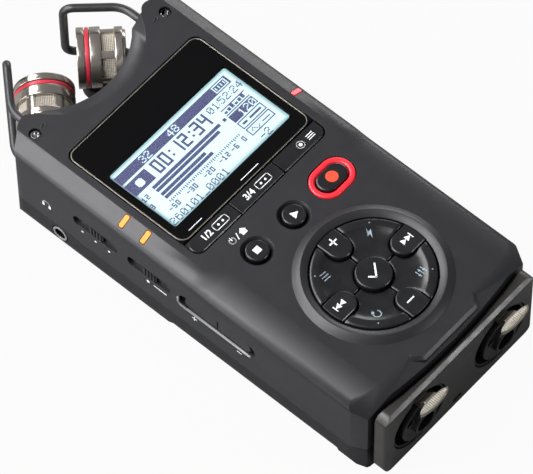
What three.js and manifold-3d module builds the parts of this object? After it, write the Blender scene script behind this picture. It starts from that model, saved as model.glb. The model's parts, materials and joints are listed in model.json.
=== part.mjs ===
// Handheld digital recorder, lying on its back: +X to the right of the face,
// +Y towards the microphones, +Z out of the face. Millimetres.
// The origin is the centre of the recorder's box, on the surface it lies on.

import * as THREE from 'three';
import { mergeVertices } from 'three/addons/utils/BufferGeometryUtils.js';
import Module from 'manifold-3d';

const wasm = await Module();
wasm.setup();

// General
const bodyWidth = 70;
const faceHeight = 34;
const gap = 0.3;
const overrun = 1;
const wall = 2;
const mergeDistance = 1e-4;
const circleSteps = 24;
const wideCircleSteps = 48;
const smallCircleSteps = 12;

// Housing in plan: stations along the body count from the jack panel's face
const bodyEnd = 2.9;
const bodyEndBow = 2.5;
const cornerCutWidth = 2.2;
const cornerCutLength = 4.5;
const shoulder = 132.6;
const shoulderRound = 1.4;
const hornShoulderX = 30.2;
const hornShoulder = 136.7;
const hornTop = 139;
const hornTipX = 25.5;
const hornTipRound = 2;
const hornInnerX = 22.8;
const hornInner = 137.4;
const lipRadius = 25;
const lipCentre = 149;
const archRadius = 26.8;
const archCentre = 156.8;
const archDepth = 3.5;

// Housing in section
const edgeDepth = 2.63;
const edgeRound = 3.5;
const edgeRoundSteps = 4;
const creaseWide = 29.5;
const creaseNarrow = 25.85;
const waistStart = 61.6;
const waistEnd = 69;
const waistSteps = 8;
const partingDepth = 23.4;
const partingGap = 0.35;
const backSlopeHeight = 4.6;
const backSlopeWidth = 3.4;
const backSlopeKneeWidth = 0.85;
const backSlopeKneeHeight = 1.5;
const backRise = 1;
const backStep = 77.3;
const backStepRun = 1.8;
const footEnd = 14.6;
const roofThickness = 4.2;
const cavityHalfWidth = 30.6;
const cavityStart = 10.5;
const cavityEnd = 122.5;
const cavityCorner = 2;

// Slope at the jack end of the face, and the tongue that runs out over it
const endSlopeStart = 7.9;
const endSlopeDrop = 3;
const tongueHalfWidth = 10.8;
const tongueRootHalfWidth = 13.8;
const tongueEnd = 3.7;
const tongueRoot = 6.4;
const tongueChamfer = 0.9;
const facetX = 25.6;
const facetNormal = [0.46, -0.56, 0.69];

// Jack panel
const panelHalfWidth = 31.6;
const panelTopDepth = 5;
const panelBottomDepth = 33.2;
const panelCorner = 3.4;
const panelEdgeRound = 1.5;
const panelChamfer = 1.1;
const grooveWidth = 1.3;
const neckInset = 2.4;
const neckEnd = 10.2;
const jackHalfSpacing = 17.05;
const jackDepth = 19.5;
const jackHoleRadius = 11;
const jackRingInner = 9.4;
const jackPlugRadius = 7.9;
const jackGrooveLength = 16;
const jackStart = 0.4;
const jackEnd = 25.5;
const jackRecess = 0.5;
const phoneBoreRadius = 3.3;
const phoneBoreLength = 21;
const pinBoreRadius = 1.25;
const pinBoreLength = 14;
const pinCircle = 5.6;
const pinAngles = [-90, 30, 150];
const latchHalfWidth = 5.8;
const latchReach = 2.9;
const latchThickness = 1.6;
const latchDepth = 8.6;
const latchTravel = 1.2;
const latchStemHalfWidth = 3.4;
const latchStemEnd = 8;
const strapSlotX = -0.9;
const strapSlotWidth = 3.4;
const strapSlotHeight = 2.2;
const strapSlotDepth = 30.5;
const strapSlotReach = 2.6;

// Display and the strip of keys below it
const windowHalfWidth = 26.95;
const windowTop = 120.9;
const windowBottom = 77.4;
const windowCorner = 3;
const windowGap = 0.45;
const windowThickness = 1.6;
const windowChamfer = 0.35;
const lcdHalfWidth = 24.05;
const lcdTop = 107.5;
const lcdBottom = 82.75;
const lcdCorner = 0.8;
const lcdRecess = 0.25;
const lcdModuleDepth = 5.4;
const stripTop = 76.9;
const stripBottom = 71.6;
const stripCorner = 2.5;
const stripGap = 0.5;
const stripProud = 0.1;

// Keys
const keyTravel = 0.5;
const keyBottomDepth = 5.1;
const keyChamfer = 0.3;
const keyGap = 0.35;
const roundKeyRow = 60.65;
const stopKeyX = -15.2;
const playKeyX = 0.1;
const roundKeyRadius = 3.45;
const roundKeyProud = 0.4;
const dishRadius = 4.85;
const dishDepth = 1.3;
const recKeyX = 16.15;
const recHalfLength = 5.15;
const recHalfWidth = 3.15;
const recProud = 0.7;
const recRingReach = 2.1;
const recRingProud = 0.35;
const recRingThickness = 1.8;

// Keypad in its raised ring
const keypad = 31.6;
const keypadRadius = 18.15;
const ringCrest = 20.25;
const ringFoot = 22.5;
const ringHeight = 1.5;
const ringShoulderShare = 0.6;
const ringLipShare = 0.35;
const centreKeyRadius = 5.3;
const centreKeyProud = 1.1;
const petalHalfWidth = 3.7;
const petalInner = 8.85;
const petalProud = 1.1;
const padKeyRadius = 17.7;
const sectorRimProud = 0.95;
const sectorDishProud = 0.35;
const sectorDishInner = 7.4;
const sectorDishOuter = 16.4;

// Left side: slide switches, level rocker and headphone socket
const switchDepth = 12.8;
const switchHeight = 4.2;
const switchReach = 1.3;
const slotRoundShare = 0.9;
const switchTravel = 5;
const inputSwitch = 103.3;
const inputSlotLength = 16.6;
const holdSwitch = 83.3;
const holdSlotLength = 16;
const knobLength = 5.2;
const knobInset = 0.35;
const knobRibs = 4;
const knobRibWidth = 0.55;
const knobRibPitch = 1.15;
const knobRibHeight = 0.35;
const stemHalfLength = 1.2;
const stemHalfHeight = 0.8;
const rocker = 58.2;
const rockerLength = 24;
const rockerHeight = 4.2;
const rockerDepth = 12.7;
const rockerThickness = 2;
const rockerInset = 0.3;
const rockerPocketLength = 27.8;
const rockerPocketReach = 3.2;
const rockerSlopeHeight = 2.4;
const rockerSlopeReach = 1.5;
const rockerNotch = 0.9;
const phoneSocket = 117.3;
const phoneSocketDepth = 27.2;
const phoneSocketRadius = 2.65;
const phoneSocketBore = 1.75;
const phoneSocketLength = 13;
const phoneSocketBodyHalf = 2.8;

// Right side: card door and the card socket behind it
const cardDoor = 93;
const cardDoorLength = 31;
const cardDoorHeight = 7.6;
const cardDoorDepth = 16;
const cardDoorThickness = 1.5;
const cardSlotLength = 24.6;
const cardSlotHeight = 2.6;
const cardSocketWall = 0.6;
const cardSocketStart = 4;

// Indicator lamps in the side slopes of the face
const lampLength = 3.9;
const lampWidth = 1.6;
const lampThickness = 1.1;
const lampProud = 0.12;
const lampX = 31.65;
const trackLamps = [95, 87.1];
const peakLamp = 87.2;

// Screws in the horns
const hornScrewX = 27.15;
const hornScrew = 132.45;
const screwHeadRadius = 1.6;
const screwHeadHeight = 0.9;
const screwRecessRadius = 1.9;
const screwRecessDepth = 1.7;
const screwShankRadius = 0.9;
const screwEndDepth = 29;
const screwCross = 0.35;
const screwCrossReach = 1.1;
const screwCrossDepth = 0.5;

// Wire guards
const wireRadius = 1.05;
const wireSides = 4;
const wireSteps = 42;
const guardLegX = 23.4;
const guardUpperDepth = 5.9;
const guardLowerDepth = 27.9;
const guardRoot = 130.6;
const guardShoulder = 145.4;
const guardCrestX = 12;
const guardCrest = 158;
const guardBend = 3.4;

// Microphones: lengths along a capsule count from its pivot towards its front
const micDepth = 16.7;
const micRingX = 9;
const micRing = 146.5;
const micRadius = 8.8;
const micPivotBehind = 3;
const micFront = 5.9;
const micCapStart = 3.75;
const micRedEnd = 3.6;
const micRedStart = 2.4;
const micRimStart = -0.6;
const micCageStart = -4.2;
const micFlangeStart = -7;
const micTail = -8.8;
const micEdge = 0.35;
const micRedInset = 0.15;
const micNeckRadius = 6.2;
const micCapInner = 7.5;
const micCapBack = 0.5;
const micNotches = 6;
const micNotchWidth = 2.6;
const micNotchDepth = 0.8;
const micGrilleFront = 5.2;
const micGrilleDome = 0.3;
const micPillars = 8;
const micPillarWidth = 1.8;
const micPillarRadius = 8.3;
const micCoreRadius = 6.9;
const micFlangeRadius = 8.5;
const micTailRadius = 6.2;
const pocketRadius = 11.9;
const pocketTopDepth = 6.9;
const pocketBottomDepth = 26.6;
const earTopDepth = 27.6;
const earBottomDepth = 32;
const earRadius = 5;
const earLength = 14;
const earTabHalfWidth = 3.8;
const footRadius = 3.4;
const footFlangeRadius = 4.4;
const footFlangeHeight = 0.7;
const footPinRadius = 1.8;
const footPinClearance = 0.08;

// Back: battery bay, its cover and the cells that lie across it
const cellRadius = 7.1;
const cellLength = 48.8;
const cellNubRadius = 2.7;
const cellNubLength = 1;
const cellHalfPitch = 7.4;
const bay = 50;
const bayHalfWidth = 26.5;
const bayHalfLength = 15.2;
const bayWall = 2.6;
const coverThickness = 1.5;
const coverLip = 1.5;
const coverTravel = 3.2;
const coverRibs = 5;
const coverRibWidth = 14;
const coverRibPitch = 2.2;
const coverRibThickness = 0.9;
const coverRibHeight = 0.5;
const contactThickness = 0.5;
const contactHalfWidth = 14.4;
const contactHeight = 9;

// Inside
const boardDepth = 7.1;
const boardThickness = 1.4;
const boardHalfWidth = 29.6;
const boardStart = 11.5;
const boardEnd = 119;
const bossX = 27.8;
const bossStations = [27, 116.5];
const bossRadius = 2;
const matStart = 15;
const matEnd = 77;
const matHalfWidth = 24.5;
const matThickness = 0.7;
const domeRadius = 1.8;

const halfWidth = bodyWidth / 2;
const quarter = Math.PI / 2;
const latchTip = -gap - latchReach;
const boxCentre = (latchTip + guardCrest) / 2;
const along = (station) => station - boxCentre;
const height = (depth) => faceHeight - depth;
const roofUnderside = height(roofThickness);
const parting = height(partingDepth);
const backTop = height(partingDepth + partingGap);
const backFloor = backRise + wall;
const sides = [-1, 1];
const sideNames = ['left', 'right'];

// Finishes
const finish = (color, roughness, metalness = 0) => new THREE.MeshStandardMaterial({ color, roughness, metalness });
const shellPlastic = finish(0x3e3e42, 0.6);
const backPlastic = finish(0x46464b, 0.6);
const glossBlack = finish(0x0d0d0e, 0.12);
const keyPlastic = finish(0x2b2b2e, 0.35);
const lcdGlass = finish(0xc0d8e0, 0.2);
const redLens = finish(0xe1323c, 0.25);
const amberLens = finish(0xfaa51e, 0.3);
const micSteel = finish(0x55565a, 0.3, 0.9);
const redBand = finish(0xc0283c, 0.35, 0.4);
const micMesh = finish(0xc8c3b9, 0.5, 0.9);
const guardSteel = finish(0x3c3c3e, 0.35, 0.7);
const jackPlastic = finish(0x151516, 0.5);
const latchSteel = finish(0xd7d2c3, 0.3, 1);
const screwSteel = finish(0x55565a, 0.35, 1);
const boardLaminate = finish(0x1e5a3c, 0.6);
const matRubber = finish(0x5a5a5f, 0.9);
const cellWrap = finish(0x6c7075, 0.4, 0.3);

const recorder = new THREE.Group();

// Solids

function signedVolume(geometry) {
  const points = geometry.attributes.position;
  const corners = geometry.index.array;
  const [a, b, c] = [new THREE.Vector3(), new THREE.Vector3(), new THREE.Vector3()];
  let volume = 0;
  for (let i = 0; i < corners.length; i += 3) {
    a.fromBufferAttribute(points, corners[i]);
    b.fromBufferAttribute(points, corners[i + 1]);
    c.fromBufferAttribute(points, corners[i + 2]);
    volume += a.dot(b.cross(c));
  }
  return volume;
}

function toSolid(geometry) {
  const bare = geometry.clone();
  bare.deleteAttribute('normal');
  bare.deleteAttribute('uv');
  const merged = mergeVertices(bare, mergeDistance);
  const corners = new Uint32Array(merged.index.array);
  if (signedVolume(merged) < 0) {
    corners.reverse();
  }
  const mesh = new wasm.Mesh({
    numProp: 3,
    vertProperties: new Float32Array(merged.attributes.position.array),
    triVerts: corners,
  });
  return new wasm.Manifold(mesh);
}

function toGeometry(solid) {
  const mesh = solid.getMesh();
  const geometry = new THREE.BufferGeometry();
  geometry.setAttribute('position', new THREE.BufferAttribute(mesh.vertProperties, 3));
  geometry.setIndex(new THREE.BufferAttribute(mesh.triVerts, 1));
  geometry.computeVertexNormals();
  return geometry;
}

function addPiece(name, solid, material) {
  const mesh = new THREE.Mesh(toGeometry(solid), material);
  mesh.name = name;
  recorder.add(mesh);
}

const placed = (solid, matrix) => toSolid(toGeometry(solid).applyMatrix4(matrix));
const moved = (solid, x, y, z) => placed(solid, new THREE.Matrix4().makeTranslation(x, y, z));
const turned = (solid, angle) => placed(solid, new THREE.Matrix4().makeRotationZ(angle));
const joined = (solids) => solids.reduce((sum, solid) => sum.add(solid));
const cutBy = (solid, tools) => tools.reduce((rest, tool) => rest.subtract(tool), solid);

// Skins a row of sections that share one count of corners, and closes both ends.
function loft(sections) {
  const count = sections[0].length;
  const positions = sections.flat().flatMap((point) => [point.x, point.y, point.z]);
  const corners = [];
  for (let s = 0; s < sections.length - 1; s += 1) {
    for (let i = 0; i < count; i += 1) {
      const a = s * count + i;
      const b = s * count + ((i + 1) % count);
      corners.push(a, b, b + count, a, b + count, a + count);
    }
  }
  const last = (sections.length - 1) * count;
  for (let i = 1; i < count - 1; i += 1) {
    corners.push(0, i + 1, i, last, last + i, last + i + 1);
  }
  const geometry = new THREE.BufferGeometry();
  geometry.setAttribute('position', new THREE.Float32BufferAttribute(positions, 3));
  geometry.setIndex(corners);
  return toSolid(geometry);
}

function prism(shape, bottom, top, steps = 6) {
  const geometry = new THREE.ExtrudeGeometry(shape, {
    depth: top - bottom,
    bevelEnabled: false,
    curveSegments: steps,
  });
  geometry.translate(0, 0, bottom);
  return toSolid(geometry);
}

function box(low, high) {
  const size = high.map((value, axis) => value - low[axis]);
  const centre = high.map((value, axis) => (value + low[axis]) / 2);
  const geometry = new THREE.BoxGeometry(...size);
  geometry.translate(...centre);
  return toSolid(geometry);
}

// A plate whose upper edge alone is chamfered.
function chamferedPrism(shape, bottom, top, chamfer, steps = 6) {
  const geometry = new THREE.ExtrudeGeometry(shape, {
    depth: top - bottom - chamfer,
    curveSegments: steps,
    bevelEnabled: true,
    bevelThickness: chamfer,
    bevelSize: chamfer,
    bevelOffset: -chamfer,
    bevelSegments: 1,
  });
  geometry.translate(0, 0, bottom);
  const reach = 2 * bodyWidth;
  return toSolid(geometry).subtract(box([-reach, -reach, bottom - reach], [reach, reach, bottom]));
}

// An upright cylinder, or a cone where the top radius differs.
function cylinder(radius, bottom, top, x = 0, y = 0, steps = circleSteps, topRadius = radius) {
  const geometry = new THREE.CylinderGeometry(topRadius, radius, top - bottom, steps);
  geometry.rotateX(quarter);
  geometry.translate(x, y, (bottom + top) / 2);
  return toSolid(geometry);
}

// A solid of revolution about Z from a closed or axis-to-axis list of [radius, z].
function revolve(profile, steps = circleSteps) {
  const points = profile.map(([radius, z]) => new THREE.Vector2(radius, z));
  if (profile[0][0] > 0) {
    points.push(points[0].clone());
  }
  const geometry = new THREE.LatheGeometry(points, steps);
  geometry.rotateX(quarter);
  return toSolid(geometry);
}

function roundedRectangle(left, bottom, right, top, radius) {
  const shape = new THREE.Shape();
  shape.moveTo(left + radius, bottom);
  shape.lineTo(right - radius, bottom);
  shape.absarc(right - radius, bottom + radius, radius, -quarter, 0);
  shape.lineTo(right, top - radius);
  shape.absarc(right - radius, top - radius, radius, 0, quarter);
  shape.lineTo(left + radius, top);
  shape.absarc(left + radius, top - radius, radius, quarter, 2 * quarter);
  shape.lineTo(left, bottom + radius);
  shape.absarc(left + radius, bottom + radius, radius, 2 * quarter, 3 * quarter);
  return shape;
}

// A round-ended outline with its long axis along X, grown by a margin.
function stadium(x, y, halfLength, halfHeight, margin = 0) {
  const shape = new THREE.Shape();
  const reach = halfLength - halfHeight;
  shape.absarc(x + reach, y, halfHeight + margin, -quarter, quarter);
  shape.absarc(x - reach, y, halfHeight + margin, quarter, 3 * quarter);
  return shape;
}

function polygon(points) {
  return new THREE.Shape(points.map(([x, y]) => new THREE.Vector2(x, y)));
}

// Stands a solid up: drawn y becomes z, and drawn z becomes -y.
const standing = (solid) => placed(solid, new THREE.Matrix4().makeRotationX(quarter));

// Puts a solid drawn for a side wall in place: drawn x runs along the body,
// drawn y up, and drawn z inwards from the wall's outer face.
function onSide(solid, side) {
  const axes = new THREE.Matrix4().makeBasis(
    new THREE.Vector3(0, 1, 0),
    new THREE.Vector3(0, 0, 1),
    new THREE.Vector3(-side, 0, 0),
  );
  axes.setPosition(side * halfWidth, 0, 0);
  return placed(solid, axes);
}

// Everything on the outer side of a plane, as a large block.
function beyond(point, normal) {
  const turn = new THREE.Quaternion().setFromUnitVectors(
    new THREE.Vector3(0, 0, 1),
    new THREE.Vector3(...normal).normalize(),
  );
  const reach = 2 * bodyWidth;
  const geometry = new THREE.BoxGeometry(reach, reach, reach);
  geometry.translate(0, 0, reach / 2);
  geometry.applyQuaternion(turn);
  geometry.translate(...point);
  return toSolid(geometry);
}

// Housing

function faceHalfSection(crease) {
  const slope = Math.atan2(edgeDepth, halfWidth - crease);
  const turn = quarter - slope;
  const tangent = edgeRound * Math.tan(turn / 2);
  const centreX = halfWidth - edgeRound;
  const centreZ = height(edgeDepth) - tangent;
  const points = [[halfWidth, parting]];
  for (let i = 0; i <= edgeRoundSteps; i += 1) {
    const angle = (turn * i) / edgeRoundSteps;
    points.push([centreX + edgeRound * Math.cos(angle), centreZ + edgeRound * Math.sin(angle)]);
  }
  points.push([crease, faceHeight]);
  return points;
}

function mirroredSection(half, y) {
  const right = half.map(([x, z]) => new THREE.Vector3(x, y, z));
  const left = half.map(([x, z]) => new THREE.Vector3(-x, y, z)).reverse();
  return [...right, ...left];
}

const eased = (share) => share * share * (3 - 2 * share);

function faceBlock() {
  const sections = [mirroredSection(faceHalfSection(creaseNarrow), along(-overrun))];
  for (let i = 0; i <= waistSteps; i += 1) {
    const share = i / waistSteps;
    const crease = creaseNarrow + (creaseWide - creaseNarrow) * eased(share);
    const station = waistStart + (waistEnd - waistStart) * share;
    sections.push(mirroredSection(faceHalfSection(crease), along(station)));
  }
  sections.push(mirroredSection(faceHalfSection(creaseWide), along(hornTop + overrun)));
  return loft(sections);
}

function backBlock() {
  const section = (station, rise) => mirroredSection([
    [halfWidth, backTop],
    [halfWidth, rise + backSlopeHeight],
    [halfWidth - backSlopeKneeWidth, rise + backSlopeKneeHeight],
    [halfWidth - backSlopeWidth, rise],
  ], along(station));
  return loft([
    section(-overrun, 0),
    section(footEnd, 0),
    section(footEnd + partingGap, backRise),
    section(backStep - backStepRun, backRise),
    section(backStep, 0),
    section(hornTop + overrun, 0),
  ]);
}

function bodyOutline() {
  const shape = new THREE.Shape();
  const endX = halfWidth - cornerCutWidth;
  const endY = along(bodyEnd + bodyEndBow);
  shape.moveTo(-endX, endY);
  shape.quadraticCurveTo(0, along(bodyEnd - bodyEndBow), endX, endY);
  shape.lineTo(halfWidth, endY + cornerCutLength);
  shape.lineTo(halfWidth, along(shoulder - shoulderRound));
  shape.quadraticCurveTo(
    halfWidth, along(shoulder + shoulderRound),
    halfWidth - 2 * shoulderRound, along(shoulder + 2 * shoulderRound),
  );
  shape.lineTo(hornShoulderX, along(hornShoulder));
  shape.quadraticCurveTo(hornTipX + hornTipRound, along(hornTop), hornTipX, along(hornTop));
  shape.quadraticCurveTo(hornInnerX + hornTipRound / 2, along(hornTop), hornInnerX, along(hornInner));
  shape.lineTo(-hornInnerX, along(hornInner));
  shape.quadraticCurveTo(-hornInnerX - hornTipRound / 2, along(hornTop), -hornTipX, along(hornTop));
  shape.quadraticCurveTo(-hornTipX - hornTipRound, along(hornTop), -hornShoulderX, along(hornShoulder));
  shape.lineTo(-halfWidth + 2 * shoulderRound, along(shoulder + 2 * shoulderRound));
  shape.quadraticCurveTo(
    -halfWidth, along(shoulder + shoulderRound),
    -halfWidth, along(shoulder - shoulderRound),
  );
  shape.lineTo(-halfWidth, endY + cornerCutLength);
  return shape;
}

// The space between the horns: a dished lip at the face, then a straight wall.
function archTool() {
  const ring = (centre, radius, z) => Array.from({ length: wideCircleSteps }, (_, i) => {
    const angle = (4 * quarter * i) / wideCircleSteps;
    return new THREE.Vector3(radius * Math.cos(angle), along(centre) + radius * Math.sin(angle), z);
  });
  const rise = overrun / archDepth;
  const topRadius = lipRadius + (lipRadius - archRadius) * rise;
  const topCentre = lipCentre + (lipCentre - archCentre) * rise;
  const lip = loft([
    ring(archCentre, archRadius, height(archDepth)),
    ring(topCentre, topRadius, faceHeight + overrun),
  ]);
  const straight = cylinder(archRadius, -overrun, height(archDepth), 0, along(archCentre), wideCircleSteps);
  return lip.add(straight);
}

function endSlopeTools() {
  const fall = endSlopeDrop / (endSlopeStart - bodyEnd);
  const slope = beyond([0, along(endSlopeStart), faceHeight], [0, -fall, 1]);
  const tongue = polygon([
    [-tongueRootHalfWidth, along(endSlopeStart + overrun)],
    [-tongueRootHalfWidth, along(tongueRoot)],
    [-tongueHalfWidth, along(tongueEnd)],
    [tongueHalfWidth, along(tongueEnd)],
    [tongueRootHalfWidth, along(tongueRoot)],
    [tongueRootHalfWidth, along(endSlopeStart + overrun)],
  ]);
  const kept = chamferedPrism(tongue, height(2 * endSlopeDrop), faceHeight, tongueChamfer);
  const facets = sides.map((side) => {
    const [x, y, z] = facetNormal;
    return beyond([side * facetX, along(endSlopeStart), faceHeight], [side * x, y, z]);
  });
  return [slope.subtract(kept), ...facets];
}

function cavityTool(bottom, top) {
  const outline = roundedRectangle(
    -cavityHalfWidth, along(cavityStart), cavityHalfWidth, along(cavityEnd), cavityCorner,
  );
  return prism(outline, bottom, top, 3);
}

function micPivot(side) {
  const offset = micPivotBehind * Math.SQRT1_2;
  return { x: side * (micRingX + offset), y: along(micRing) - offset };
}

function micPocketTool(side) {
  const { x, y } = micPivot(side);
  return cylinder(pocketRadius, height(pocketBottomDepth), height(pocketTopDepth), x, y, wideCircleSteps);
}

function keypadRing() {
  const base = height(roofThickness / 2);
  const profile = [
    [keypadRadius, base],
    [ringFoot, base],
    [ringFoot, faceHeight],
    [(ringFoot + ringCrest) / 2, faceHeight + ringHeight * ringShoulderShare],
    [ringCrest, faceHeight + ringHeight],
    [(ringCrest + keypadRadius) / 2, faceHeight + ringHeight * (1 - ringLipShare / 2)],
    [keypadRadius, faceHeight + ringHeight * ringLipShare],
  ];
  return moved(revolve(profile, wideCircleSteps), 0, along(keypad), 0);
}

function windowTools() {
  const reach = windowHalfWidth + windowGap;
  const outline = roundedRectangle(
    -reach, along(stripBottom - windowGap), reach, along(windowTop + windowGap), windowCorner,
  );
  const pocket = prism(outline, height(windowThickness + gap), faceHeight + overrun);
  const lcdReach = lcdHalfWidth + gap;
  const lcdHole = box(
    [-lcdReach, along(lcdBottom - gap), height(2 * roofThickness)],
    [lcdReach, along(lcdTop + gap), faceHeight],
  );
  const stripHole = roundedRectangle(
    -reach, along(stripBottom - windowGap), reach, along(stripTop + stripCorner), stripCorner,
  );
  return [pocket, lcdHole, prism(stripHole, height(2 * roofThickness), height(windowThickness))];
}

function roundKeyTools() {
  const radius = roundKeyRadius + keyGap;
  const flare = ((dishRadius - radius) * (dishDepth + overrun)) / dishDepth;
  return [stopKeyX, playKeyX].flatMap((x) => {
    const y = along(roundKeyRow);
    const dish = cylinder(radius, height(dishDepth), faceHeight + overrun, x, y, circleSteps, radius + flare);
    return [dish, cylinder(radius, height(2 * roofThickness), height(dishDepth) + gap, x, y)];
  });
}

const recOutline = (margin) => stadium(recKeyX, along(roundKeyRow), recHalfLength, recHalfWidth, margin);

function recTools() {
  return [
    prism(recOutline(recRingReach + gap), height(recRingThickness + gap), faceHeight + overrun, 10),
    prism(recOutline(keyGap), height(2 * roofThickness), faceHeight, 10),
  ];
}

function slotOutline(station, depth, length, slotHeight) {
  const half = slotHeight / 2;
  return roundedRectangle(
    along(station) - length / 2, height(depth) - half,
    along(station) + length / 2, height(depth) + half, half * slotRoundShare,
  );
}

const sideWall = halfWidth - cavityHalfWidth;

// A switch's recess in the side wall, and the narrow way in for its stem.
function switchTools(station, length) {
  const recess = prism(slotOutline(station, switchDepth, length, switchHeight), -overrun, switchReach, 5);
  const halfLength = stemHalfLength + switchTravel + gap;
  const halfHeight = stemHalfHeight + gap;
  const way = box(
    [along(station) - halfLength, height(switchDepth) - halfHeight, 0],
    [along(station) + halfLength, height(switchDepth) + halfHeight, sideWall + overrun],
  );
  return [onSide(recess, -1), onSide(way, -1)];
}

const rockerPocketHeight = rockerHeight + 2 * gap;

// The rocker's pocket, and the ramp below it that leads a finger in.
function rockerTools() {
  const pocket = prism(
    slotOutline(rocker, rockerDepth, rockerPocketLength, rockerPocketHeight), -overrun, rockerPocketReach, 5,
  );
  const low = height(rockerDepth) - rockerPocketHeight / 2;
  const fall = rockerSlopeHeight / rockerSlopeReach;
  const section = [
    [-halfWidth + rockerSlopeReach, low],
    [-halfWidth, low - rockerSlopeHeight],
    [-halfWidth - overrun, low - rockerSlopeHeight - fall * overrun],
    [-halfWidth - overrun, height(rockerDepth)],
    [-halfWidth + rockerSlopeReach, height(rockerDepth)],
  ];
  const halfLength = (rockerPocketLength - rockerPocketHeight) / 2;
  const ramp = standing(prism(polygon(section), -along(rocker) - halfLength, -along(rocker) + halfLength));
  return [onSide(pocket, -1), ramp];
}

function neckTool() {
  const reach = panelHalfWidth - neckInset + gap;
  return box(
    [-reach, along(-overrun), height(panelBottomDepth - neckInset + gap)],
    [reach, along(cavityStart + overrun), height(panelTopDepth + neckInset - gap)],
  );
}

function lampPlacement(side, station) {
  const slope = Math.atan2(edgeDepth, halfWidth - creaseWide);
  const matrix = new THREE.Matrix4().makeRotationY(side * slope);
  matrix.setPosition(side * lampX, along(station), height((lampX - creaseWide) * Math.tan(slope)));
  return matrix;
}

function lamp(side, station, margin) {
  const outline = roundedRectangle(
    -lampLength / 2 - margin, -lampWidth / 2 - margin,
    lampLength / 2 + margin, lampWidth / 2 + margin, lampWidth / 3,
  );
  const top = margin > 0 ? overrun : lampProud;
  return placed(prism(outline, -lampThickness - margin, top, 3), lampPlacement(side, station));
}

function guardPath(side) {
  const point = (x, station, depth) => new THREE.Vector3(side * x, along(station), height(depth));
  const level = (depth) => [
    point(guardLegX, guardRoot, depth),
    point(guardLegX, guardShoulder, depth),
    point(guardCrestX, guardCrest - wireRadius, depth),
  ];
  const corners = [...level(guardUpperDepth), ...level(guardLowerDepth).reverse()];
  const path = new THREE.CurvePath();
  let from = corners[0];
  for (let i = 1; i < corners.length - 1; i += 1) {
    const corner = corners[i];
    const before = corners[i - 1].clone().sub(corner).setLength(guardBend).add(corner);
    const after = corners[i + 1].clone().sub(corner).setLength(guardBend).add(corner);
    path.add(new THREE.LineCurve3(from, before));
    path.add(new THREE.QuadraticBezierCurve3(before, corner, after));
    from = after;
  }
  path.add(new THREE.LineCurve3(from, corners.at(-1)));
  return path;
}

function guard(side) {
  const section = new THREE.Shape();
  section.absarc(0, 0, wireRadius, 0, 4 * quarter);
  const geometry = new THREE.ExtrudeGeometry(section, {
    steps: wireSteps,
    curveSegments: wireSides,
    bevelEnabled: false,
    extrudePath: guardPath(side),
  });
  return toSolid(geometry);
}

function guardSocketTools(side) {
  return [guardUpperDepth, guardLowerDepth].map((depth) => {
    const start = along(guardRoot - gap);
    const hole = cylinder(wireRadius + gap, -along(hornTop + overrun), -start, 0, 0, smallCircleSteps);
    return moved(standing(hole), side * guardLegX, 0, height(depth));
  });
}

function hornScrewTools(side) {
  const x = side * hornScrewX;
  const y = along(hornScrew);
  return [
    cylinder(screwRecessRadius, height(screwRecessDepth), faceHeight + overrun, x, y, smallCircleSteps),
    cylinder(screwShankRadius + gap, height(screwEndDepth + overrun), faceHeight, x, y, smallCircleSteps),
  ];
}

function cardDoorTools() {
  const depth = height(cardDoorDepth);
  const halfLength = cardDoorLength / 2 + gap;
  const halfHeight = cardDoorHeight / 2 + gap;
  const start = along(cardDoor);
  const recess = box(
    [start - halfLength, depth - halfHeight, -overrun],
    [start + halfLength, depth + halfHeight, cardDoorThickness + 2 * gap],
  );
  const slot = box(
    [start - cardSlotLength / 2, depth - cardSlotHeight / 2, 0],
    [start + cardSlotLength / 2, depth + cardSlotHeight / 2, sideWall + overrun],
  );
  return [onSide(recess, 1), onSide(slot, 1)];
}

const bosses = bossStations.flatMap((station) => sides.map((side) => (
  cylinder(bossRadius, height(boardDepth) + gap, roofUnderside + overrun, side * bossX, along(station), 12)
)));

const frontShell = cutBy(faceBlock().intersect(prism(bodyOutline(), parting, faceHeight + overrun)), [
  archTool(),
  ...endSlopeTools(),
  cavityTool(parting - overrun, roofUnderside),
  cylinder(keypadRadius, height(2 * roofThickness), faceHeight + overrun, 0, along(keypad), wideCircleSteps),
  ...windowTools(),
  ...roundKeyTools(),
  ...recTools(),
  ...switchTools(inputSwitch, inputSlotLength),
  ...switchTools(holdSwitch, holdSlotLength),
  ...rockerTools(),
  ...cardDoorTools(),
  neckTool(),
  ...sides.flatMap((side) => [
    micPocketTool(side),
    ...guardSocketTools(side),
    ...hornScrewTools(side),
  ]),
  ...trackLamps.map((station) => lamp(-1, station, gap / 2)),
  lamp(1, peakLamp, gap / 2),
]);
addPiece('front_shell', joined([frontShell, keypadRing(), ...bosses]), shellPlastic);

// Back half

// The cover's outline, with room at its jack end for it to slide.
function coverOutline(margin, travel) {
  return roundedRectangle(
    -bayHalfWidth - coverLip - margin, along(bay - bayHalfLength - coverLip) - margin - travel,
    bayHalfWidth + coverLip + margin, along(bay + bayHalfLength + coverLip) + margin, wall,
  );
}

const bayBlock = box(
  [-bayHalfWidth - bayWall, along(bay - bayHalfLength - bayWall) - coverTravel, backRise + coverThickness],
  [bayHalfWidth + bayWall, along(bay + bayHalfLength + bayWall), backTop],
);
const bayTools = [
  prism(coverOutline(gap, coverTravel), -overrun, backRise + coverThickness + gap, 3),
  box(
    [-bayHalfWidth, along(bay - bayHalfLength), -overrun],
    [bayHalfWidth, along(bay + bayHalfLength), backTop + overrun],
  ),
];

function ear(side) {
  const { x, y } = micPivot(side);
  const bottom = height(earBottomDepth);
  const top = height(earTopDepth);
  const tab = box([-earTabHalfWidth, -earLength, bottom], [earTabHalfWidth, 0, top]);
  return moved(turned(tab, (side * quarter) / 2), x, y, 0).add(cylinder(earRadius, bottom, top, x, y));
}

function earTool(side) {
  const { x, y } = micPivot(side);
  return cylinder(footPinRadius + footPinClearance, -overrun, parting, x, y);
}

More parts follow.
